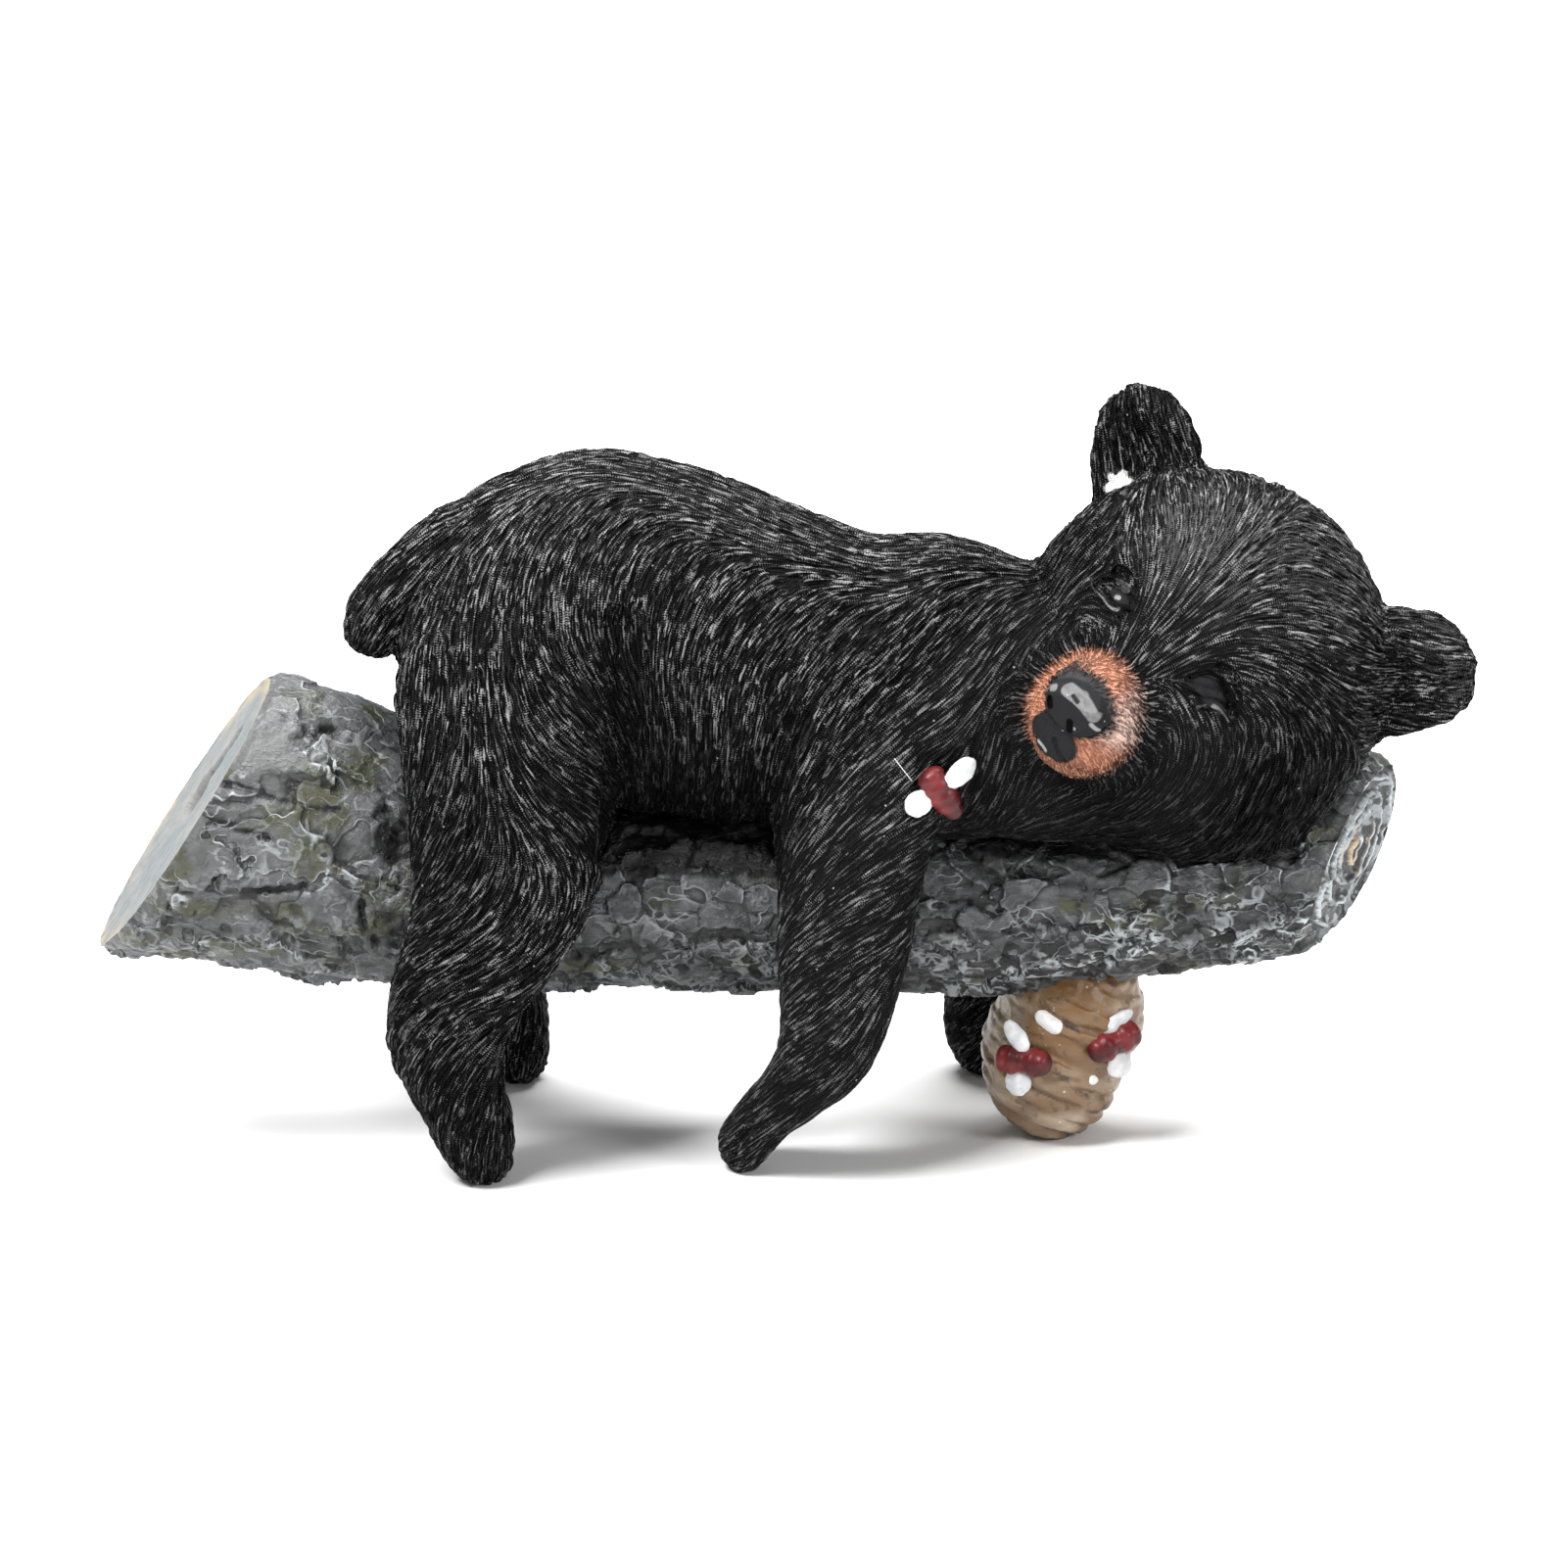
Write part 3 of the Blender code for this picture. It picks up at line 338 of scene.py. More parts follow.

# Lines that the fur follows, read off the photo, in its pixels across and down
FUR_LINES_BODY = (
    # along the spine to the tail
    (
        (1040, 585), (960, 568), (900, 574), (800, 540), (700, 500), (620, 482), (550, 488), (480, 518),
        (420, 562), (372, 602), (360, 630),
    ),
    ((900, 592), (830, 575), (770, 552), (700, 528), (650, 528), (625, 555)),
    ((460, 545), (425, 580), (395, 615), (380, 645)),
    # down the rump
    ((480, 545), (452, 590), (440, 650), (432, 710), (425, 770)),
    ((510, 530), (482, 580), (476, 640), (470, 710), (455, 770), (440, 810)),
    # over the hip and round the haunch
    ((560, 510), (528, 550), (510, 600), (500, 650), (505, 700), (530, 745), (575, 775), (625, 795)),
    ((590, 515), (560, 555), (548, 600), (553, 645), (580, 690), (618, 725), (642, 760)),
    ((640, 530), (612, 570), (606, 615), (618, 660), (638, 705), (648, 745)),
    ((490, 650), (488, 710), (502, 765), (535, 805), (575, 832), (615, 848)),
    # down the thigh, parting left and right of the knee
    ((488, 720), (478, 780), (465, 825), (442, 865), (425, 900)),
    ((508, 790), (525, 835), (560, 872), (583, 910), (580, 950), (555, 985), (518, 1015)),
    ((610, 860), (617, 900), (605, 940), (585, 970)),
    ((500, 870), (484, 905), (455, 935), (418, 955)),
    # across and down the shin
    ((540, 925), (520, 960), (485, 980), (440, 995), (405, 1018)),
    ((535, 1020), (500, 1028), (462, 1040), (430, 1060), (418, 1080)),
    ((510, 1060), (485, 1080), (463, 1105), (450, 1135)),
    ((512, 1105), (498, 1135), (486, 1165), (478, 1192)),
    # down the flank
    ((695, 550), (672, 600), (661, 660), (658, 720), (658, 780), (662, 840)),
    ((765, 560), (727, 605), (705, 650), (695, 700), (689, 765), (683, 830)),
    ((825, 580), (782, 625), (752, 670), (737, 720), (731, 780), (724, 840)),
    ((875, 605), (832, 652), (803, 700), (786, 750), (776, 800), (765, 850)),
    # over the shoulder
    ((965, 595), (922, 640), (882, 690), (850, 735), (824, 790), (808, 850)),
    ((1025, 615), (980, 660), (932, 710), (885, 752), (845, 790), (820, 835)),
    ((1045, 665), (1000, 712), (950, 748), (900, 776), (860, 802), (832, 835)),
    ((900, 802), (862, 828), (828, 860), (805, 900)),
    ((1030, 780), (1010, 825), (975, 860), (925, 890), (880, 918), (845, 945)),
    # down the foreleg
    ((905, 855), (870, 872), (835, 890), (808, 920)),
    ((920, 935), (885, 950), (850, 962), (812, 985)),
    ((915, 975), (880, 992), (845, 1010), (808, 1035)),
    ((905, 1020), (893, 1055), (878, 1085)),
    ((865, 1055), (830, 1072), (795, 1085)),
    ((860, 1090), (825, 1108), (788, 1125), (762, 1148)),
    ((825, 1132), (798, 1150), (768, 1165), (742, 1182)),
)
FUR_LINES_HEAD = (
    # neck beside the head
    ((1085, 600), (1058, 640), (1040, 690), (1034, 740), (1026, 790)),
    ((1070, 590), (1040, 612), (1005, 645)),
    # round the muzzle and under the open eye
    ((1152, 652), (1122, 622), (1092, 606), (1062, 618), (1044, 655)),
    ((1150, 500), (1125, 530), (1100, 558), (1075, 588), (1052, 612)),
    # up from the bridge of the nose, fanning over the forehead
    ((1160, 642), (1172, 600), (1177, 560), (1168, 525), (1152, 500)),
    ((1166, 642), (1190, 602), (1208, 562), (1215, 525), (1210, 490)),
    ((1176, 646), (1210, 606), (1240, 570), (1264, 540), (1280, 508)),
    ((1182, 655), (1222, 623), (1262, 590), (1300, 566), (1342, 562), (1382, 588)),
    ((1186, 668), (1226, 640), (1270, 612), (1320, 602), (1370, 612), (1396, 628)),
    ((1190, 680), (1232, 656), (1280, 642), (1330, 645), (1380, 662)),
    ((1210, 668), (1258, 656), (1300, 672), (1340, 696), (1375, 722)),
    # cheek and jaw
    ((1262, 690), (1305, 705), (1338, 735), (1350, 780), (1340, 820)),
    ((1186, 695), (1212, 720), (1232, 752), (1240, 792)),
    ((1172, 700), (1188, 740), (1190, 785), (1175, 825)),
    ((1300, 740), (1292, 790), (1275, 835), (1255, 860)),
    ((1262, 800), (1232, 830), (1190, 848), (1140, 858)),
    ((1200, 790), (1160, 818), (1112, 845)),
    ((1150, 800), (1115, 822), (1075, 835)),
    # ears
    ((1142, 482), (1126, 445), (1130, 402)),
    ((1176, 482), (1172, 440), (1165, 398)),
    ((1236, 482), (1215, 450), (1198, 412)),
    ((1405, 622), (1442, 632), (1482, 648)),
    ((1405, 690), (1450, 685), (1500, 676)),
    ((1405, 720), (1440, 726), (1475, 738)),
)


# The same for what the photo hides: a point on the skin in millimetres, and the way the fur lies there
FUR_FAR = (
    # far fore leg
    (39, 38, 60, -0.6, 0.2, -0.75), (38, 38, 32, -0.7, 0, -0.7), (37, 37, 10, -0.6, 0.2, -0.75),
    (30, 30, 20, -0.7, 0.2, -0.7), (46, 34, 40, -0.6, 0.2, -0.75),
    # back of the head, towards the neck
    (96, 4, 110, 0.5, 0.7, -0.4), (104, 4, 92, 0.2, 0.8, -0.6), (84, 20, 108, -0.2, 0.7, -0.6),
    (92, 20, 90, -0.3, 0.5, -0.8), (70, 26, 100, -0.6, 0.3, -0.7), (64, 24, 80, -0.7, 0.2, -0.7),
    (84, 22, 72, -0.5, 0.2, -0.8), (100, 6, 74, 0, 0.4, -0.9), (52, 16, 108, -0.8, 0.3, -0.4),
)
FUR_BLEND = 4.9  # millimetres over which one line gives way to the next
FINE_STROKES, BROAD_STROKES = (0.55, 4.2, 1), (1.1, 7, 2)  # width, length and seed
FINE_HEIGHT, BROAD_HEIGHT, FUR_RANGE, FUR_SINK = 0.26, 0.16, (-0.6, 0.45), 0.2
# The bear's pieces, and the x where each ends
BEAR_PIECES = (("rump", -48), ("haunch", -30), ("belly", 5), ("shoulder", 34), ("neck", 62), ("head", 999))


def ball():
    """Points and faces of a unit sphere."""
    bm = bmesh.new()
    bmesh.ops.create_icosphere(bm, subdivisions=4, radius=1.0)
    points = np.array([v.co[:] for v in bm.verts])
    faces = np.array([[v.index for v in f.verts] for f in bm.faces])
    bm.free()
    return points, faces


BALL_POINTS, BALL_FACES = ball()


def head_matrix():
    """From the head's own frame, in millimetres, to the figure's."""
    forward = Vector(MUZZLE_WAY).normalized()
    right = forward.cross(Vector(CROWN_WAY)).normalized()
    turn = Matrix((right, forward, right.cross(forward))).transposed()
    return Matrix.Translation(Vector(HEAD_CENTRE)) @ turn.to_4x4()


HEAD = head_matrix()
INTO_HEAD = HEAD.inverted()


def placed(matrix, points):
    """The point or points, moved by the matrix."""
    turn = np.array(matrix)
    return np.asarray(points, float) @ turn[:3, :3].T + turn[:3, 3]


def facing(point, way, along=(0.0, 0.0, 1.0)):
    """A frame at the point whose +Z looks the given way and whose +X follows along as near as it can."""
    out = Vector(way).normalized()
    side = out.cross(Vector(along)).normalized()
    return Matrix.Translation(Vector(point)) @ Matrix((side.cross(out), side, out)).transposed().to_4x4()


def curve_through(stations, per_span):
    """Catmull-Rom points through the stations, ends included."""
    p = np.array(stations, float)
    p = np.vstack([2 * p[0] - p[1], p, 2 * p[-1] - p[-2]])
    out = []
    for a, b, c, d in zip(p, p[1:], p[2:], p[3:]):
        for t in np.arange(per_span) / per_span:
            bend = (2 * a - 5 * b + 4 * c - d) * t**2 + (3 * b - a - 3 * c + d) * t**3
            out.append(b + 0.5 * ((c - a) * t + bend))
    return np.array([*out, p[-2]])


class Clay:
    """Ellipsoids of clay. Remeshing them makes one skin."""

    def __init__(self, matrix=None):
        self.matrix = matrix or Matrix.Identity(4)
        self.lumps = []

    def lump(self, centre, radii):
        self.lumps.append(placed(self.matrix, BALL_POINTS * radii + centre))

    def chain(self, stations, per_span=7):
        for x, y, z, *radii in curve_through(stations, per_span):
            self.lump((x, y, z), radii)


def noise_cells(cells, seed):
    """A number from 0 to 1 for each whole-numbered cell of space."""
    x, y, z = np.ascontiguousarray(cells.astype(np.int32)).view(np.uint32).T
    h = x * np.uint32(0x8DA6B343) ^ y * np.uint32(0xD8163841) ^ z * np.uint32(0xCB1AB31F)
    h ^= np.uint32((seed + 1) * 0x9E3779B1 & 0xFFFFFFFF)
    for shift, factor in ((15, 0x2C1B3C6D), (12, 0x297A2D39)):
        h ^= h >> np.uint32(shift)
        h *= np.uint32(factor)
    h ^= h >> np.uint32(15)
    return h.astype(np.float32) / np.float32(2**32)


def lumpy(points, size, seed=0):
    """Smooth noise from -1 to 1 with lumps of this size, which may differ by axis."""
    p = np.asarray(points) / size
    low = np.floor(p)
    t = (p - low).astype(np.float32)
    t = t * t * (3.0 - 2.0 * t)
    total = np.zeros(len(p), np.float32)
    for corner in np.ndindex(2, 2, 2):
        share = np.prod(np.where(corner, t, 1.0 - t), axis=1)
        total += share * noise_cells(low + corner, seed)
    return 2.0 * total - 1.0


def plates(points, size, seed=0):
    """The nearest plate's number, the next one's, half the gap between them, and the way across."""
    p = np.asarray(points) / size
    base = np.floor(p)
    near, second = np.full(len(p), 9.0), np.full(len(p), 9.0)
    number, other, way = np.zeros(len(p)), np.zeros(len(p)), np.zeros_like(p)
    for step in np.ndindex(3, 3, 3):
        cell = base + step - 1
        spot = cell + np.stack([noise_cells(cell, seed + k) for k in (1, 2, 3)], axis=1)
        apart = length(p - spot)
        named = noise_cells(cell, seed + 4)
        closer, next_closest = apart < near, (apart >= near) & (apart < second)
        other = np.where(closer, number, np.where(next_closest, named, other))
        second = np.where(closer, near, np.where(next_closest, apart, second))
        near = np.where(closer, apart, near)
        number = np.where(closer, named, number)
        way = np.where(closer[:, None], p - spot, way)
    return number, other, (second - near) / 2, way


def shingles(points, size, seed):
    """Overlapping plates: their height, to about 1, and the way in from an edge, below 0 where covered."""
    number, other, gap, way = plates(points, size, seed)
    edge = gap * np.mean(size[1:]) * np.where(number > other, 1.0, -1.0)
    named = np.round(number * 9999)[:, None] * (1, 1, 1)
    tilt = np.stack([noise_cells(named, seed + k) - 0.5 for k in (5, 6, 7)], axis=1)
    return number + 0.9 * (way * tilt).sum(axis=1), edge


def smoothstep(low, high, value):
    t = np.clip((np.asarray(value) - low) / (high - low), 0.0, 1.0)
    return t * t * (3.0 - 2.0 * t)


def length(vectors):
    return np.linalg.norm(vectors, axis=1)


def unit(vectors):
    return vectors / length(vectors)[:, None].clip(1e-9)


def grey(value):
    return (value,) * 3


def gap_to(points, path):
    """Distance from each point to the nearest point of the path."""
    gap = np.full(len(points), np.inf)
    path = np.asarray(path, float)
    for start, end in zip(path, path[1:]):
        span = end - start
        along = np.clip((points - start) @ span / (span @ span), 0.0, 1.0)
        gap = np.minimum(gap, length(points - start - along[:, None] * span))
    return gap


def ellipse_share(x, z, middle, half):
    """Distance from the middle of an ellipse as a share of its radius."""
    return np.hypot((x - middle[0]) / half[0], (z - middle[1]) / half[1])


def made_mesh(name, points, faces, values=(), normals=None):
    """An object from arrays of points and faces, all faces with the same number of corners."""
    mesh = bpy.data.meshes.new(name)
    mesh.vertices.add(len(points))
    mesh.vertices.foreach_set("co", (np.asarray(points) * MM).ravel())
    mesh.loops.add(faces.size)
    mesh.loops.foreach_set("vertex_index", faces.ravel())
    mesh.polygons.add(len(faces))
    mesh.polygons.foreach_set("loop_start", np.arange(len(faces)) * faces.shape[1])
    mesh.update(calc_edges=True)
    mesh.shade_smooth()
    for key, value in dict(values).items():
        value = np.asarray(value, np.float32)
        kind, field = ("FLOAT", "value") if value.ndim == 1 else ("FLOAT_VECTOR", "vector")
        mesh.attributes.new(key, kind, "POINT").data.foreach_set(field, value.ravel())
    if normals is not None:
        mesh.normals_split_custom_set_from_vertices(normals)
    obj = bpy.data.objects.new(name, mesh)
    bpy.context.scene.collection.objects.link(obj)
    return obj


def skin_of(clays, grid, softening):
    """Points and triangles of one closed skin over all the clay, softened where the lumps meet."""
    lumps = [lump for clay in clays for lump in clay.lumps]
    faces = [BALL_FACES + i * len(BALL_POINTS) for i in range(len(lumps))]
    obj = made_mesh("clay", np.concatenate(lumps), np.concatenate(faces))
    skin = obj.modifiers.new("skin", "REMESH")
    skin.mode, skin.voxel_size = "VOXEL", grid * MM
    soften = obj.modifiers.new("soften", "SMOOTH")
    soften.factor, soften.iterations = 0.5, softening
    mesh = obj.evaluated_get(bpy.context.evaluated_depsgraph_get()).to_mesh()
    mesh.calc_loop_triangles()
    points, triangles = np.empty(len(mesh.vertices) * 3), np.empty(len(mesh.loop_triangles) * 3, np.int32)
    mesh.vertices.foreach_get("co", points)
    mesh.loop_triangles.foreach_get("vertices", triangles)
    bpy.data.objects.remove(obj)
    return points.reshape(-1, 3) / MM, triangles.reshape(-1, 3)


class Sculpt:
    """A skin of triangles, and strokes on it. Points and sizes are in millimetres."""

    def __init__(self, points, faces):
        self.points, self.faces = points, faces
        self.renew()

    def renew(self):
        """Finds the normals again from the sculpted points."""
        a, b, c = (self.points[corner] for corner in self.faces.T)
        faced = np.cross(b - a, c - a)
        sums = [sum(np.bincount(corner, side, len(self.points)) for corner in self.faces.T) for side in faced.T]
        self.normals = unit(np.stack(sums, axis=1))

    def cut_in_four(self, chosen):
        """Cuts the chosen triangles in four, and fits those next to them to the edges cut."""
        count = len(self.points)
        a, b, c = self.faces.T.astype(np.int64)
        sides = (a, b), (b, c), (c, a)
        codes = np.stack([np.minimum(p, q) * count + np.maximum(p, q) for p, q in sides], axis=1)
        edges, index = np.unique(codes, return_inverse=True)
        index = index.reshape(-1, 3)
        cut = np.zeros(len(edges), bool)
        cut[index[chosen]] = True
        middle = (count + np.cumsum(cut) - 1)[index]
        ab, bc, ca = middle.T
        is_cut = cut[index]
        whole, some = is_cut.all(axis=1), is_cut.any(axis=1)
        fan = some & ~whole
        centre = count + cut.sum() + np.cumsum(fan) - 1
        made = [self.faces[~some]]
        quarters = (a, ab, ca), (ab, b, bc), (ca, bc, c), (ab, bc, ca)
        made += [np.stack(corners, axis=1)[whole] for corners in quarters]
        for start, half, end, split_here in zip((a, b, c), (ab, bc, ca), (b, c, a), is_cut.T):
            made.append(np.stack((start, half, centre), axis=1)[fan & split_here])
            made.append(np.stack((half, end, centre), axis=1)[fan & split_here])
            made.append(np.stack((start, end, centre), axis=1)[fan & ~split_here])
        halves = (self.points[edges[cut] // count] + self.points[edges[cut] % count]) / 2
        self.points = np.concatenate([self.points, halves, self.points[self.faces[fan]].mean(axis=1)])
        self.faces = np.concatenate(made).astype(np.int32)
        self.renew()

    def press(self, centre, radius, depth, way=None):
        """Pushes in a round dent, or raises a mound if the depth is negative."""
        reach = length(self.points - centre) / radius
        fade = np.clip(1.0 - reach**2, 0.0, 1.0) ** 2
        if way is None:
            self.points -= self.normals * (fade * depth)[:, None]
        else:
            faced = np.clip(-self.normals @ way, 0.0, 1.0)
            self.points += np.asarray(way) * (fade * faced * depth)[:, None]

    def groove(self, path, radius, depth, seen_along=None):
        """Cuts a rounded groove along the path, or raises a ridge if the depth is negative.

        If seen_along is given, the path is drawn on the skin as it is seen along that way, which faces out.
        """
        path = curve_through(path, 6)
        reach = radius if seen_along is None else radius + 5.0
        near = ((self.points > path.min(axis=0) - reach) & (self.points < path.max(axis=0) + reach)).all(axis=1)
        if seen_along is not None:
            near &= self.normals @ seen_along > 0.1
        points = self.points[near]
        if seen_along is not None:
            flat = np.eye(3) - np.outer(seen_along, seen_along)
            points, path = points @ flat, path @ flat
        fade = np.clip(1.0 - (gap_to(points, path) / radius) ** 2, 0.0, 1.0) ** 2
        self.points[near] -= self.normals[near] * (fade * depth)[:, None]

    def flatten(self, point, way, centre, radius):
        """Pushes what stands out beyond a plane back onto it, near the centre."""
        way = np.asarray(way) / np.linalg.norm(way)
        beyond = np.clip((self.points - point) @ way, 0.0, None)
        near = length(self.points - centre) < radius
        self.points -= way * (0.92 * beyond * near)[:, None]

    def rest_on(self, height, where):
        """Flattens what hangs below the height, as far as where says (0 to 1)."""
        below = np.clip(height - self.points[:, 2], 0.0, None)
        self.points[:, 2] += below * 0.85 * where

    def raise_by(self, heights):
        self.points += self.normals * heights[:, None]


def photo_view(points):
    """Where the points stand in the photo, in its pixels, and how far off they are in millimetres."""
    tilt, reach = np.radians(CAMERA_TILT), CAMERA_AWAY / MM
    away = points - BOX_MIDDLE - np.array(CAMERA_AIM) / MM
    off = reach - away @ (0.0, -np.cos(tilt), np.sin(tilt))
    scale = reach / off * PHOTO_PIXELS / (CAMERA_SPAN / MM)
    up = away @ (0.0, np.sin(tilt), np.cos(tilt))
    return np.stack([PHOTO_PIXELS / 2 + away[:, 0] * scale, PHOTO_PIXELS / 2 - up * scale], axis=1), off


def fur_guides(sculpt, lines):
    """Points on the skin under the lines drawn on the photo, each with the way that its line runs there."""
    points = sculpt.points[sculpt.normals @ TO_CAMERA > 0.0]
    pixels, off = photo_view(points)
    guides = []
    for line in lines:
        route = []
        for pixel in curve_through(line, 2):
            apart = ((pixels - pixel) ** 2).sum(axis=1)
            route.append(points[np.argmin(np.where(apart < GUIDE_REACH**2, off, 1e4 + apart))])
        guides.append(np.concatenate([route, unit(np.gradient(np.array(route), axis=0))], axis=1))
    return np.concatenate(guides)


def fur_lay(sculpt):
    """The way the fur strokes lie at each point, along the skin. Guides that point opposite ways agree."""
    points, normals = sculpt.points, sculpt.normals
    body, head = (fur_guides(sculpt, lines) for lines in (FUR_LINES_BODY, FUR_LINES_HEAD))
    guides = np.concatenate([body, body * (1, -1, 1, 1, -1, 1), head, np.array(FUR_FAR, float)])
    ways = guides[:, 3:]
    pairs = (ways[:, :, None] * ways[:, None, :]).reshape(-1, 9)
    lay, spread = np.empty_like(points), np.empty((len(points), 9))
    for start in range(0, len(points), 8000):
        part = slice(start, start + 8000)
        apart = ((points[part, None] - guides[None, :, :3]) ** 2).sum(axis=2)
        weights = np.exp(-apart / (2 * FUR_BLEND**2)) + 1e-4 / (1.0 + apart / 400.0) ** 3
        lay[part], spread[part] = weights @ ways, weights @ pairs
    side = unit(np.cross(normals, (0.31, 0.87, 0.39)))
    up = np.cross(normals, side)
    spread = spread.reshape(-1, 3, 3)
    ends = (side, side), (side, up), (up, up)
    along, both, across = (np.einsum("ni,nij,nj->n", p, spread, q) for p, q in ends)
    angle = 0.5 * np.arctan2(2 * both, along - across)[:, None]
    line = np.cos(angle) * side + np.sin(angle) * up
    return line * np.where((line * lay).sum(axis=1) < 0.0, -1.0, 1.0)[:, None]


def strokes(points, lay, width, reach, seed):
    """Noise drawn out along the lay, with a spread of about 1."""
    total = 0.0
    for step in np.linspace(-1.0, 1.0, 13):
        total = total + (1.0 - step**2) * lumpy(points + lay * (step * reach / 2), width, seed)
    return total / total.std()


def bear_skin():
    """The bear as one skin, finer where the camera sees it and finest on the muzzle and eyes."""
    body, head = Clay(), Clay(HEAD)
    for stations in (TORSO, CHEST, TAIL, NEAR_HIND_LEG, FAR_HIND_LEG, NEAR_FORE_LEG, FAR_FORE_LEG):
        body.chain(stations)
    for centre, radii in (SKULL, FACE, NOSE):
        head.lump(centre, radii)
    head.chain(MUZZLE)
    for side, (right, forward, up), girth in EAR_FITS:
        for (x, y, z), radii in (CHEEK, BROW):
            head.lump((side * x, y, z), radii)
        ear = [(side * x + right, y + forward, z + up, a * girth, b, c * girth) for x, y, z, a, b, c in EAR]
        head.chain(ear)
    sculpt = Sculpt(*skin_of((body, head), BEAR_GRID, BEAR_SOFTENING))
    hidden = (sculpt.points[:, 1] > HIDDEN_FROM_Y) & (sculpt.points[:, 2] < HIDDEN_BELOW)
    seen = (sculpt.normals @ TO_CAMERA > 0.0) & ~hidden
    sculpt.cut_in_four(seen[sculpt.faces].any(axis=1))
    x, y, z = placed(INTO_HEAD, sculpt.points).T
    fine = np.any([np.hypot(x - right, z - up) < radius for (right, up), radius in FINEST], axis=0)
    sculpt.cut_in_four((fine & (y > FINEST_FROM_Y))[sculpt.faces].all(axis=1))
    return sculpt


def carve_body(sculpt):
    for path, radius, depth, _ in CREASES:
        sculpt.groove(path, radius, depth)
    for gap in TOE_GAPS:
        sculpt.groove(gap, TOE_GAP_RADIUS, TOE_GAP_DEPTH)
    x, y, z = sculpt.points.T
    lying = np.clip((x - REST_FROM_X) / 6.0, 0.0, 1.0) * np.clip((REST_TO_Y - y) / 6.0, 0.0, 1.0)
    sculpt.rest_on(REST_HEIGHT, lying * (z > 40.0))


class Face:
    """Where points lie in the head's frame, and from 0 to 1 how far each is in every part of the face."""

    def __init__(self, points):
        self.x, self.y, self.z = placed(INTO_HEAD, points).T
        self.seen = np.stack([self.x, self.z], axis=1)
        self.front = smoothstep(22.0, 26.0, self.y)
        self.ring = self.share(MUZZLE_MIDDLE, MUZZLE_HALF)
        leather = self.share(LEATHER_MIDDLE, LEATHER_HALF) + 0.07 * lumpy(points, 2.2, 5)
        lips = self.share(MOUTH_MIDDLE, MOUTH_HALF) + 0.1 * lumpy(points, 2.6, 7)
        dark = -np.log(np.exp(-6.0 * leather) + np.exp(-6.0 * lips)) / 6.0
        mouth = smoothstep(1.16, 0.84, dark) * self.front
        self.nose = smoothstep(1.08, 0.98, leather) * smoothstep(37.6, 38.6, self.y)
        self.halo = smoothstep(1.38, 1.05, leather) * smoothstep(-8.5, -5.0, self.z)
        furred = (1.0 - self.nose) * (1.0 - mouth) * (1.0 - 0.75 * self.halo)
        self.brown = smoothstep(1.10, 0.80, self.ring) * self.front * furred
        slant = 0.15 * (self.x - OPEN_EYE_MIDDLE[0])
        open_eye = ellipse_share(self.x, self.z + slant, OPEN_EYE_MIDDLE, OPEN_EYE_HALF)
        shut_eye = self.share(SHUT_EYE_MIDDLE, SHUT_EYE_HALF)
        eye_socket_shade = np.maximum(smoothstep(2.4, 1.3, open_eye), smoothstep(2.4, 1.2, shut_eye))
        self.eye_socket_shade = eye_socket_shade * self.front
        self.open_lid = smoothstep(1.15, 0.9, open_eye) * self.front
        self.shut_lid = smoothstep(1.2, 0.8, shut_eye) * self.front
        self.under_eye = smoothstep(1.3, 0.7, self.share(UNDER_EYE_MIDDLE, UNDER_EYE_HALF)) * self.front
        self.bare = np.maximum.reduce([self.nose, 0.92 * mouth, self.open_lid, 0.85 * self.shut_lid])
        self.close = smoothstep(17.0, 26.0, self.y) * smoothstep(30.0, 22.0, np.abs(self.x))
        # pink on the bear's left side of the muzzle, and darker brown at the bottom of the ring as painted
        # shade
        warm = smoothstep(1.0, -7.0, self.x) * smoothstep(-9.0, -2.0, self.z)
        self.pink_and_low_shade = 0.35 * smoothstep(-14.0, -8.0, self.z) + 0.65 * warm

    def share(self, middle, half):
        return ellipse_share(self.x, self.z, middle, half)

    def light(self, points):
        """The grey touches of paint: the painted highlight on the nose's top, FACE_LIGHTS with their painted
        glints, and a faint halo over the nose.
        """
        slit = smoothstep(0.35, 0.15, gap_to(self.seen, NOSE_SLIT))
        top = gap_to(self.seen, NOSE_TOP_HIGHLIGHT) / NOSE_TOP_HIGHLIGHT_RADIUS + 0.12 * lumpy(points, 1.2, 6)
        light = 0.36 * smoothstep(1.1, 0.85, top) * self.nose * (1.0 - slit)
        for path, radius, amount in FACE_LIGHTS:
            touch = smoothstep(1.15, 0.7, gap_to(self.seen, path) / radius)
            light = np.maximum(light, amount * touch * self.front)
        faint = 0.05 * self.halo * smoothstep(-3.5, -1.0, self.z) * self.front * (1.0 - self.nose)
        return np.maximum(light, faint)

    def painted_hollow_shade(self):
        """Painted shade: how much the paint darkens in the lids, the lines round the shut eye and the nostrils.
        """
        dark = 0.7 * self.shut_lid + 0.6 * self.open_lid
        for path in (LIDS_MEET, LID_FOLD):
            dark += 1.4 * smoothstep(0.5, 0.2, gap_to(self.seen, path)) * self.front
        for one, other, radius in NOSTRIL_HOLES:
            dark += 2.0 * smoothstep(1.2, 0.7, gap_to(self.seen, (one, other)) / radius) * self.nose
        return dark


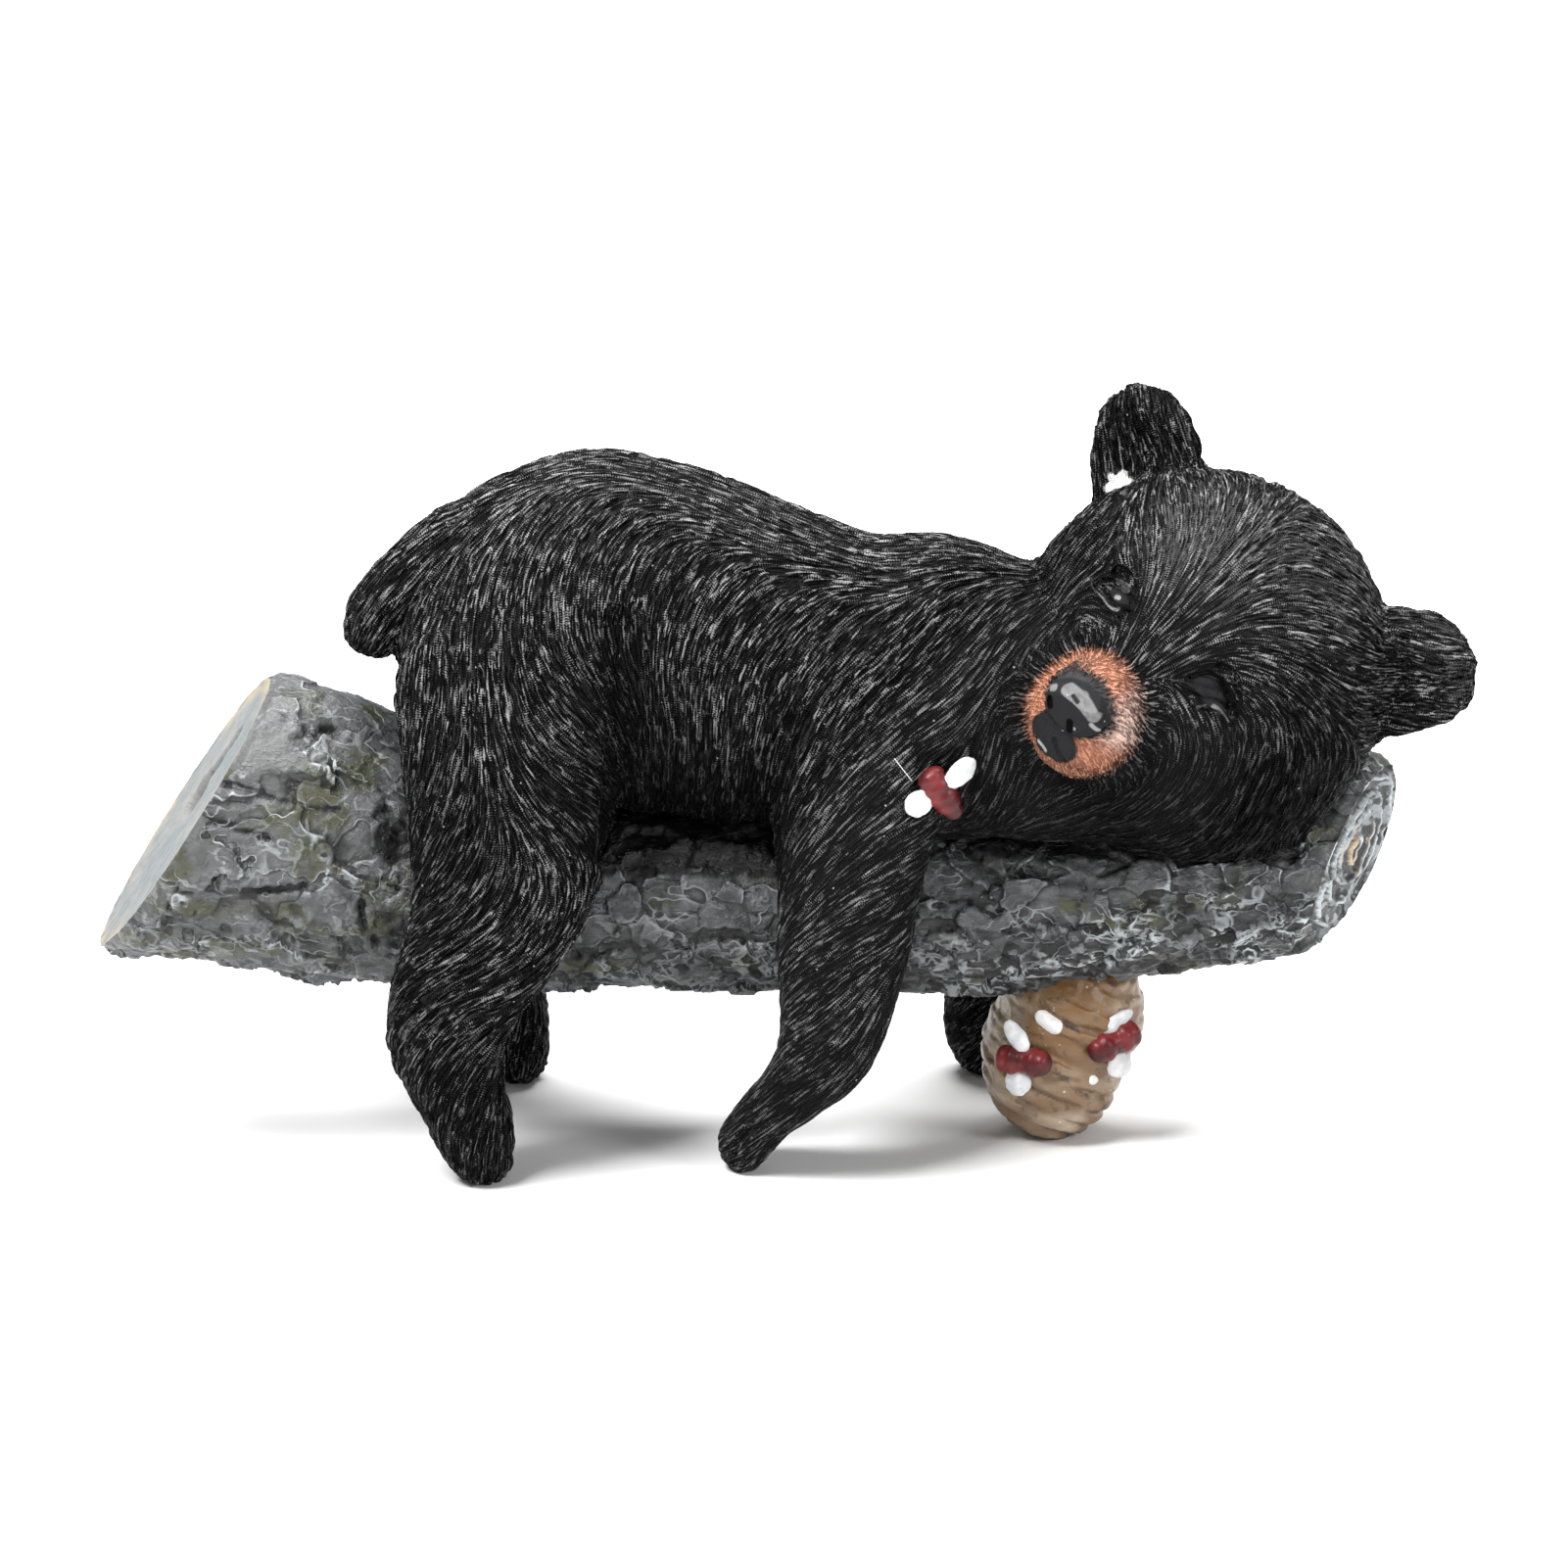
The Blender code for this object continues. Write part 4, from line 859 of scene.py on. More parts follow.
def lay_round_nose(lay, sculpt, face):
    """Turns the lay to run out from the nose, and shortens it there."""
    aside, up = face.x - LEATHER_MIDDLE[0], face.z - LEATHER_MIDDLE[1] + 1.5
    radial = np.stack([aside, 0 * aside, up], axis=1) @ np.array(HEAD)[:3, :3].T
    radial -= sculpt.normals * (radial * sculpt.normals).sum(axis=1)[:, None]
    radial = unit(radial)
    radial *= np.where((radial * lay).sum(axis=1) < 0.0, -1.0, 1.0)[:, None]
    lay += (radial - lay) * (smoothstep(1.45, 1.1, face.ring) * face.front)[:, None]
    return unit(lay) * (1.0 - 0.72 * smoothstep(1.3, 0.95, face.ring) * face.front)[:, None]


def bear():
    sculpt = bear_skin()
    carve_body(sculpt)
    carve_face(sculpt)
    sculpt.renew()
    face = Face(sculpt.points)
    lay = lay_round_nose(fur_lay(sculpt), sculpt, face)
    waves = strokes(sculpt.points, lay, *FINE_STROKES), strokes(sculpt.points, lay, *BROAD_STROKES)
    fine, broad = (np.sign(wave) * np.abs(wave) ** 0.8 for wave in waves)
    touch = white_star(sculpt.points)
    furred = (1.0 - face.bare) * (1.0 - 0.8 * touch) * (1.0 - 0.5 * face.brown)
    height = ((FINE_HEIGHT * fine + BROAD_HEIGHT * broad) * furred).clip(*FUR_RANGE)
    sculpt.raise_by(height * (1.0 - 0.55 * face.close) - FUR_SINK * (1.0 - touch))
    sculpt.points = sculpt.points.clip(VISUAL_LOW, VISUAL_HIGH)
    brush_and_sheen = fur_brush_and_sheen(sculpt.points) * (1.0 - 0.7 * face.halo * face.front)
    # painted shade in the creases: less grey on the fur near each
    for path, _, _, crease_shade in CREASES:
        brush_and_sheen *= 1.0 - crease_shade * smoothstep(6.5, 1.5, gap_to(sculpt.points, curve_through(path, 5)))
    # painted shade round the eye sockets
    brush_and_sheen *= 1.0 - 0.8 * face.eye_socket_shade
    brush_and_sheen += (0.95 - brush_and_sheen).clip(0.0) * face.under_eye
    sculpt.renew()
    values = {key: getattr(face, key) for key in ("brown", "bare", "pink_and_low_shade", "close")}
    values |= {"touch": touch, "lay": lay, "brush_and_sheen": brush_and_sheen, "light": face.light(sculpt.points)}
    values["crest"] = (0.7 * fine + 0.5 * broad) * (1.0 - face.bare) - face.painted_hollow_shade()
    return split(sculpt, BEAR_PIECES, values)


def fur_brush_and_sheen(points):
    """How much grey shows on the fur, from 0 to 1: the dry brush with painted shade in creases and under the
    body, and above 1 a painted sheen on the top of the head and back.
    """
    total, weight = 0.12 * BRUSH_AND_SHEEN_PLAIN, 0.12
    for x, y, z, amount in BRUSH_AND_SHEEN_SPOTS:
        near = np.exp(-((points - (x, y, z)) ** 2).sum(axis=1) / (2 * BRUSH_AND_SHEEN_REACH**2))
        total, weight = total + near * amount, weight + near
    return total / weight


def white_star(points):
    """The white star of paint by an ear, from 0 to 1."""
    up = np.cross((1.0, 0.0, 0.0), -TO_CAMERA)
    away = points - STAR_MIDDLE
    side, rise = away[:, 0], away @ up
    rays = 1.0 + 0.22 * np.cos(5 * np.arctan2(rise, side) + 0.6)
    reach = STAR_RADIUS * rays * (1.0 - 0.25 * np.abs(rise) / STAR_RADIUS)
    return smoothstep(1.1, 0.9, length(away) / reach.clip(0.3))


def split(sculpt, pieces, attributes):
    """The skin as several pieces, which meet without a seam because they keep the whole skin's normals."""
    middle = sculpt.points[sculpt.faces, 0].mean(axis=1)
    made, low = [], -999.0
    for name, high in pieces:
        faces = sculpt.faces[(middle >= low) & (middle < high)]
        used, local = np.unique(faces, return_inverse=True)
        local = local.reshape(faces.shape).astype(np.int32)
        values = {key: value[used] for key, value in attributes.items()}
        made.append(made_mesh(f"bear_{name}", sculpt.points[used], local, values, sculpt.normals[used]))
        low = high
    return made


def carve_face(sculpt):
    out = np.array(HEAD.col[1][:3])
    for side, shift, _ in EAR_FITS:
        half = HEAD @ Matrix.Diagonal((side, 1.0, 1.0, 1.0))
        centre, radius, depth = EAR_HOLLOW
        hollow = placed(half, centre) + placed(HEAD, shift) - HEAD_CENTRE
        sculpt.press(hollow, radius, depth, -out)
        centre, radius, depth = EYE_SOCKET
        sculpt.press(placed(half, centre), radius, depth, -out)
    for flat, way in NOSE_FLATS:
        turned = placed(HEAD, way) - placed(HEAD, (0.0, 0.0, 0.0))
        sculpt.flatten(placed(HEAD, flat), turned, placed(HEAD, NOSE[0]), 8.0)
    for centre, radius, rise in (EYEBALL, SHUT_LID):
        sculpt.press(placed(HEAD, centre), radius, -rise, -out)
    for path, radius, depth in FACE_STROKES:
        sculpt.groove(placed(HEAD, [(x, 30.0, z) for x, z in path]), radius, depth, out)


def branch_point(along, around):
    """The plain skin of the branch, from 0 at the trunk cut to 1 at the ringed end."""
    stations = curve_through(BRANCH_STATIONS, 9)
    cos, sin = np.cos(around), np.sin(around)
    ends = []
    for point, way in ((TRUNK_CUT_POINT, TRUNK_CUT_WAY), (RING_END_POINT, RING_END_WAY)):
        x = np.full(around.shape, point[0])
        for _ in range(8):
            y0, z0, depth, height = (np.interp(x, stations[:, 0], stations[:, k]) for k in (1, 2, 3, 4))
            y, z = y0 + depth * cos, z0 + height * sin
            x = point[0] - ((y - point[1]) * way[1] + (z - point[2]) * way[2]) / way[0]
        ends.append(x)
    x = ends[0] + (ends[1] - ends[0]) * along
    y0, z0, depth, height = (np.interp(x, stations[:, 0], stations[:, k]) for k in (1, 2, 3, 4))
    return np.stack([x, y0 + depth * cos, z0 + height * sin], axis=-1)


def bark_relief(flat):
    """Height of the bark at points of the plain skin, how far each is in a crack, and values for the paint."""
    stub = smoothstep(-62.0, -74.0, flat[:, 0])
    middle_z = np.interp(flat[:, 0], [s[0] for s in BRANCH_STATIONS], [s[2] for s in BRANCH_STATIONS])
    low = smoothstep(4.0, -9.0, flat[:, 2] - middle_z)
    warp = np.stack([1.5 * lumpy(flat, 4.5, 20 + k) + 0.8 * lumpy(flat, 1.7, 24 + k) for k in range(3)], axis=1)
    (big, big_edge), (mid, mid_edge), (small, small_edge) = (
        shingles(flat + share * warp, size, seed) for share, size, seed in PLATE_SIZES
    )
    height = 1.5 * big * stub + 1.5 * mid * (1.0 - 0.65 * stub) + 0.9 * small * (0.25 + 0.75 * low)
    lip = np.exp(-(((mid_edge - 0.25) / 0.3) ** 2)) * (1.0 - 0.5 * stub)
    lip += 0.6 * np.exp(-(((small_edge - 0.2) / 0.25) ** 2)) * low
    lip += np.exp(-(((big_edge - 0.3) / 0.35) ** 2)) * stub
    worn = 0.35 + 0.65 * np.maximum(smoothstep(10.0, 75.0, flat[:, 0]), 0.6 * stub)
    curled = smoothstep(-0.3, 0.4, lumpy(flat, 5.0, 53)) * worn
    height += 0.4 * lip * curled + 0.14 * lumpy(flat, 1.6, 52) + 0.10 * lumpy(flat, (4.0, 0.8, 0.8), 54)
    height -= height.mean()
    crack = np.zeros(len(flat))
    for path, radius in STUB_CRACKS:
        gap = gap_to(flat, curve_through(path, 5))
        crack = np.maximum(crack, np.clip(1.0 - (gap / radius) ** 2, 0.0, 1.0))
    collar = smoothstep(11.0, 2.0, length((flat - COLLAR_MIDDLE) / (1.0, 1.3, 1.5)))
    bound = np.interp(flat[:, 0], *np.transpose(SHADOW_ABOVE))
    bound = bound + 0.7 * lumpy(flat, 2.5, 62) + 0.4 * lumpy(flat, 0.9, 63)
    # painted shadow under the bear: black above the bound, on the near side
    black = smoothstep(-0.4, 0.4, flat[:, 2] - bound) * smoothstep(3.0, -3.0, flat[:, 1] + warp[:, 0])
    spot = length(flat + 0.6 * warp - SHADOW_SPOT)
    black = np.maximum(black, smoothstep(SHADOW_SPOT_RADIUS, SHADOW_SPOT_RADIUS - 0.8, spot))
    height *= 1.0 - 0.8 * collar
    knot = np.exp(-(length((flat - KNOT_MIDDLE) / (11.0, 6.0, 4.0)) ** 2))
    under = np.exp(-(length((flat - KNOT_UNDER) / (9.0, 2.4, 1.6)) ** 2))
    olive = smoothstep(0.25, 0.6, lumpy(flat, (7.0, 4.0, 4.0), 60) + 0.15 * stub)
    for middle, radius in OLIVE_SPOTS:
        olive = np.maximum(olive, smoothstep(radius, 0.5 * radius, length(flat - middle + warp)))
    values = {"big": big_edge, "mid": mid_edge, "small": small_edge, "stub": stub, "low": low, "curled": curled}
    values |= {"olive": olive * (1.0 - collar), "collar": collar, "black": black}
    return height + 1.6 * knot - 1.4 * under - 1.5 * crack, crack, values


def bark():
    """The side of the branch, as a tube of plates, and the skin's rims for the two cut faces."""
    turns = np.arange(BARK_AROUND) * 2 * np.pi / BARK_AROUND
    along, around = np.meshgrid(np.linspace(0.0, 1.0, BARK_ALONG + 1), turns, indexing="ij")
    shape = along.shape
    points = branch_point(along, around)
    across = np.roll(points, -1, axis=1) - np.roll(points, 1, axis=1)
    normals = np.cross(np.gradient(points, axis=0), across)
    normals /= np.linalg.norm(normals, axis=2)[..., None]
    if normals[0, 0] @ (0, 1, 0) < 0:
        normals = -normals
    height, crack, values = bark_relief(points.reshape(-1, 3))
    height = height.clip(*BARK_RANGE).reshape(shape) - BARK_SINK
    height *= smoothstep(-0.02, 0.02, along) * smoothstep(1.02, 0.985, along)
    rounded = 1.3 * (smoothstep(0.012, 0.0, along) + smoothstep(0.988, 1.0, along))
    points = points + normals * (height - rounded)[..., None]
    local = height.copy()
    for axis in (0, 1):
        local = sum(np.roll(local, k, axis=axis) for k in range(-5, 6)) / 11
    index = np.arange(points[..., 0].size).reshape(shape)
    right = np.roll(index, -1, axis=1)
    quads = np.stack([index[:-1], right[:-1], right[1:], index[1:]], axis=-1).reshape(-1, 4)
    values["crest"] = (height - local).ravel() - crack
    return made_mesh("branch_bark", points.reshape(-1, 3), quads, values), points[0], points[-1]


def cut_face(name, rim, way, relief):
    """A disc inside the rim. Relief gives its height from the distance in from the rim and the points."""
    middle = rim.mean(axis=0)
    share = np.linspace(1.0, 0.0, RIM_RINGS, endpoint=False)
    grid = middle + (rim - middle)[None] * share[:, None, None]
    points = np.concatenate([grid.reshape(-1, 3), [middle]])
    inward = np.append(np.repeat(1.0 - share, len(rim)), 1.0)
    height, values = relief(points, middle, inward)
    points = points + np.asarray(way) * (height * smoothstep(0.0, 0.03, inward))[:, None]
    index = np.arange(grid[..., 0].size).reshape(RIM_RINGS, len(rim))
    right = np.roll(index, -1, axis=1)
    quads = np.stack([index[:-1], index[1:], right[1:], right[:-1]], axis=-1).reshape(-1, 4)
    tip = np.full(len(rim), len(points) - 1)
    last = np.stack([index[-1], tip, right[-1], right[-1]], axis=-1)
    tris = np.concatenate([quads[:, [0, 1, 2]], quads[:, [0, 2, 3]], last[:, [0, 1, 2]]])
    return made_mesh(name, points, tris, values)


def ring_relief(points, middle, inward):
    """Layers of wood, one inside another, clearest above the middle and worn away below it."""
    radius = length(points - middle) + 1.5 * lumpy(points, 7.5, 70) + 0.2 * lumpy(points, 2.4, 76)
    layers = radius / RING_STEP
    turn = layers - np.floor(layers)
    lip = smoothstep(0.5, 0.88, turn) * smoothstep(1.0, 0.93, turn)
    above = smoothstep(-6.0, 6.0, points[:, 2] - middle[2])
    whole = smoothstep(-0.55, 0.05, lumpy(points, 5.5, 73) + 0.9 * above - 0.3)
    height = 1.2 * lip * whole - 1.0 + 0.6 * lumpy(points, 3.2, 71) + 0.3 * lumpy(points, 1.2, 72)
    values = {"crest": 0.1 + 0.4 * lip * whole, "layers": layers, "whole": whole, "face": np.ones(len(points))}
    return height, values | {"cream": smoothstep(8.5, 4.5, radius)}


def keyhole_axes():
    """The ways up and across the trunk cut."""
    way = np.array(TRUNK_CUT_WAY) / np.linalg.norm(TRUNK_CUT_WAY)
    up = np.array((0.0, 0.0, 1.0)) - way * way[2]
    up /= np.linalg.norm(up)
    return up, np.cross(up, way)


def keyhole_gap(across, rise):
    """Distance from the keyhole's outline, below 0 inside it: a round entry and the slot above it."""
    entry = np.hypot(across, rise - KEYHOLE_ENTRY_UP) - KEYHOLE_ENTRY_WIDTH / 2
    on_slot = np.clip(rise, KEYHOLE_ENTRY_UP, KEYHOLE_TOP_UP)
    return np.minimum(entry, np.hypot(across, rise - on_slot) - KEYHOLE_SLOT_WIDTH / 2)


def trunk_relief(points, middle, inward):
    """A plain cut with the keyhole slot sunk in it."""
    up, side = keyhole_axes()
    height = 0.12 * lumpy(points, (4.0, 4.0, 1.2), 74) + 0.06 * lumpy(points, 0.9, 75) - 0.25
    away = points - TRUNK_CUT_POINT
    deep = smoothstep(0.0, -0.8, keyhole_gap(away @ side, away @ up))
    return height - 5.0 * deep, {"rim": 1.0 - inward, "hole": deep}


def branch():
    side, trunk_rim, ring_rim = bark()
    trunk = cut_face("branch_trunk_cut", trunk_rim, TRUNK_CUT_WAY, trunk_relief)
    rings = cut_face("branch_ring_end", ring_rim, RING_END_WAY, ring_relief)
    return side, trunk, rings


def nest():
    clay = Clay()
    for centre, radii in NEST_LUMPS:
        clay.lump(centre, radii)
    sculpt = Sculpt(*skin_of([clay], NEST_GRID, 4))
    sculpt.cut_in_four(sculpt.normals[sculpt.faces].mean(axis=1) @ TO_CAMERA > -0.2)
    points = sculpt.points
    away = points - NEST_AXIS_POINT
    height = away @ np.array(NEST_AXIS_WAY) + NEST_COIL_SLOPE * away[:, 0] + 0.9 * lumpy(points, 7.0, 80)
    turn = height / NEST_COIL_STEP
    turn -= np.floor(turn)
    coil = smoothstep(0.0, 0.45, turn) * smoothstep(1.0, 0.8, turn)
    low = smoothstep(26.0, 14.0, points[:, 2])
    clear = smoothstep(-0.7, 0.5, lumpy(points, (6.0, 6.0, 3.5), 83))
    relief = (coil - 1.0) * (0.35 + 0.6 * low) * (0.3 + 0.7 * clear)
    sculpt.raise_by(relief + 0.18 * lumpy(points, (3.5, 3.5, 0.9), 81) + 0.12 * lumpy(points, 1.4, 84) - 0.05)
    fold = np.zeros(len(points))
    for path, radius, depth in NEST_FOLDS:
        sculpt.groove(path, radius, depth)
        fold = np.maximum(fold, smoothstep(0.9, 0.2, gap_to(points, curve_through(path, 6))) * depth)
    sculpt.points[:, 2] = sculpt.points[:, 2].clip(0.0)
    sculpt.renew()
    # brown wash in patches and round the brownest spot, darker towards the top as painted shade under the
    # branch, paler on the side facing the key light as painted light
    brown_wash_and_painted_light = lumpy(points, (5.0, 5.0, 3.0), 82) + 1.3 * smoothstep(12.0, 3.0, length(points - NEST_BROWN))
    brown_wash_and_painted_light += 0.9 * smoothstep(24.0, 33.0, points[:, 2]) - 0.3 * smoothstep(-0.2, -0.9, sculpt.normals[:, 0])
    touch = np.zeros(len(points))
    for ends, radius in NEST_DABS:
        touch = np.maximum(touch, smoothstep(1.3, 0.75, gap_to(points, ends) / radius))
    sculpt.raise_by(0.3 * touch)
    # dark lines between the coils, painted shade in the grooves
    values = {"line": np.abs(turn - 0.5) * 2.0 * (0.5 + 0.5 * clear)}
    values |= {"brown_wash_and_painted_light": brown_wash_and_painted_light, "touch": touch, "low": low, "fold": fold}
    return made_mesh("nest", sculpt.points, sculpt.faces, values)


def bee(index, centre, along, out, half):
    """The body and the two wings."""
    body = Clay(facing(centre, out, along))
    for place, girth in BEE_SEGMENTS[index]:
        body.lump((place * half[0], 0.0, 0.0), (half[0] * 0.32, half[1] * girth, half[2] * girth))
    pieces = [made_mesh(f"bee_{index}", *skin_of([body], BEE_GRID, 3))]
    for (place, way, sizes), tag in zip(WINGS[index], ("left", "right")):
        wing = Clay(facing(place, out, way))
        wing.lump((0.0, 0.0, 0.0), sizes)
        sculpt = Sculpt(*skin_of([wing], BEE_GRID, 3))
        dabbed = 0.2 * lumpy(sculpt.points, 1.5, 90 + index) + 0.06 * lumpy(sculpt.points, 0.6, 93 + index)
        sculpt.raise_by(dabbed)
        pieces.append(made_mesh(f"bee_{index}_{tag}_wing", sculpt.points, sculpt.faces))
    return pieces


def thread():
    """The fine white line of paint that runs to the shoulder's bee."""
    clay = Clay()
    clay.chain([(*point, *(THREAD_RADIUS,) * 3) for point in WHITE_LINE], 16)
    return made_mesh("white_line", *skin_of([clay], THREAD_GRID, 1))


class Signal:
    """A number or colour that a material works out at each point of a surface."""

    def __init__(self, paint, socket):
        self.paint, self.socket = paint, socket

    def __add__(self, other):
        return self.paint.math("ADD", self, other)

    def __sub__(self, other):
        return self.paint.math("SUBTRACT", self, other)

    def __rsub__(self, other):
        return self.paint.math("SUBTRACT", other, self)

    def __mul__(self, other):
        return self.paint.math("MULTIPLY", self, other)

    def __abs__(self):
        return self.paint.math("ABSOLUTE", self)

    def ramp(self, low, high, to_low=0.0, to_high=1.0):
        """The range from low to high, made to run smoothly between the two others."""
        numbers = (self, low, high, to_low, to_high)
        return self.paint.made("ShaderNodeMapRange", 0, numbers, interpolation_type="SMOOTHSTEP")

    def mix(self, one, other):
        """From one colour to the other, as this goes from 0 to 1."""
        return self.paint.made("ShaderNodeMix", 2, {0: self, 6: one, 7: other}, data_type="RGBA")


class Paint:
    """A material built from its Principled shader. Sizes in it are in metres."""

    def __init__(self, name, roughness, **settings):
        self.material = bpy.data.materials.new(name)
        self.material.use_nodes = True
        self.tree = self.material.node_tree
        self.inputs = self.tree.nodes["Principled BSDF"].inputs
        self.inputs["Roughness"].default_value = roughness
        for key, value in settings.items():
            self.inputs[key.replace("_", " ")].default_value = value

    def put(self, value, socket):
        if isinstance(value, Signal):
            self.tree.links.new(value.socket, socket)
        elif isinstance(value, tuple) and socket.type == "RGBA":
            socket.default_value = (*value, 1.0)
        else:
            socket.default_value = value

    def made(self, kind, output, inputs=(), **settings):
        """A new node's output, with the inputs given in order or by name or number."""
        node = self.tree.nodes.new(kind)
        for key, value in settings.items():
            setattr(node, key, value)
        for key, value in inputs.items() if isinstance(inputs, dict) else enumerate(inputs):
            self.put(value, node.inputs[key])
        return Signal(self, node.outputs[output])

    def math(self, operation, *values):
        return self.made("ShaderNodeMath", 0, values, operation=operation)

    def most(self, first, *others):
        for other in others:
            first = self.math("MAXIMUM", first, other)
        return first

    def read(self, *names):
        """The values that the mesh holds at each point under these names."""
        return [self.made("ShaderNodeAttribute", "Fac", attribute_name=name) for name in names]

    def place(self):
        return self.made("ShaderNodeTexCoord", "Object")

    def noise(self, scale, detail=3.0, stretch=None):
        """Noise over the object, with about this many lumps to the metre."""
        place = self.place()
        if stretch:
            place = self.made("ShaderNodeMapping", 0, {"Vector": place, "Scale": stretch})
        inputs = {"Vector": place, "Scale": scale, "Detail": detail, "Roughness": 0.6}
        return self.made("ShaderNodeTexNoise", "Fac", inputs)

    def strokes(self, scale, taps, spacing):
        """Noise drawn out along the mesh's lay, finer than its faces. It stays near 0.5."""
        place, lay = self.place(), self.made("ShaderNodeAttribute", "Vector", attribute_name="lay")
        waves = []
        for tap in range(taps):
            reach = ((tap - (taps - 1) / 2) * spacing,) * 3
            spot = self.made("ShaderNodeVectorMath", 0, (lay, reach, place), operation="MULTIPLY_ADD")
            inputs = {"Vector": spot, "Scale": scale, "Detail": 0.0}
            waves.append(self.made("ShaderNodeTexNoise", "Fac", inputs))
        return sum(waves[1:], waves[0]) * (1.0 / taps)

    def colour(self, value):
        self.put(value, self.inputs["Base Color"])

    def bump(self, height, distance, strength=1.0):
        inputs = {"Strength": strength, "Distance": distance, "Height": height}
        self.put(self.made("ShaderNodeBump", 0, inputs), self.inputs["Normal"])


def fur_paint():
    """Black with grey strokes on the crests, partly dry brush and partly painted highlights for the paint's
    glints, and a painted sheen where the figure shines most.
    """
    paint = Paint("fur_black", 0.3, Specular_IOR_Level=0.025)
    crest, bare, brush_and_sheen, brown, close = paint.read("crest", "bare", "brush_and_sheen", "brown", "close")
    pink_and_low_shade, light, touch = paint.read("pink_and_low_shade", "light", "touch")
    drawn = paint.strokes(2700.0, 11, 0.00042)
    hairs = drawn.ramp(0.43, 0.57)
    patchy = paint.noise(380.0, 2.0).ramp(0.38, 0.62, 0.45, 1.0)
    # grey strokes on the crests: partly dry brush, partly painted highlights that stand in for glints of the
    # gloss paint
    brushed = drawn.ramp(0.50, 0.565) * crest.ramp(-1.1, 0.6) * patchy
    brushed = brushed * paint.math("MINIMUM", brush_and_sheen, 1.0) * brush_and_sheen.ramp(1.0, 1.7, 1.0, 0.72)
    black = close.mix((0.0010, 0.0010, 0.0011), (0.0045, 0.0045, 0.0047))
    # painted sheen: the black lifted towards grey on the top of the head and back, where the figure would shine
    painted_sheen = brush_and_sheen.ramp(1.0, 1.7).mix((0.0145, 0.0145, 0.0147), (0.070, 0.070, 0.071))
    black = (hairs * (brush_and_sheen + 0.25)).mix(black, painted_sheen)
    colour = brushed.mix(black, grey(0.27))
    # the ring's brown darkens towards its bottom as painted shade and turns pink on one side
    tan = pink_and_low_shade.ramp(0.0, 0.35).mix((0.25, 0.108, 0.070), (0.39, 0.165, 0.102))
    tan = pink_and_low_shade.ramp(0.35, 1.0).mix(tan, (0.60, 0.42, 0.36))
    tan = (drawn.ramp(0.46, 0.42) * 0.6).mix(tan, (0.070, 0.030, 0.022))
    tan = (drawn.ramp(0.53, 0.57) * 0.2).mix(tan, (0.62, 0.36, 0.26))
    ragged = brown + (hairs - 0.5) * 0.25
    colour = (ragged.ramp(0.05, 0.95) * brown.ramp(0.02, 0.15)).mix(colour, tan)
    # the nose leather darker in the nostrils and lid lines, as painted shade
    leather = crest.ramp(-0.5, -1.5).mix((0.017, 0.017, 0.018), grey(0.001))
    feathered = bare + (hairs - 0.5) * 0.45
    colour = (feathered.ramp(0.25, 0.65) * bare.ramp(0.02, 0.2)).mix(colour, leather)
    # tiny grey specks over the fur: partly dust, partly painted glints
    specks = paint.made("ShaderNodeTexVoronoi", "Distance", {"Vector": paint.place(), "Scale": 230.0})
    colour = (specks.ramp(0.050, 0.030) * 0.5).mix(colour, grey(0.6))
    # the grey touches on the face, among them painted highlights and glints
    streaky = paint.noise(900.0, 2.0).ramp(0.35, 0.6, 0.7, 1.0)
    colour = (light * streaky).mix(colour, grey(0.42))
    paint.colour(touch.mix(colour, (0.80, 0.80, 0.79)))
    paint.put((crest * 0.35 + hairs).ramp(0.2, 1.2, 0.5, 0.26), paint.inputs["Roughness"])
    paint.bump(hairs * (1.0 - bare), 0.0005)
    return paint.material


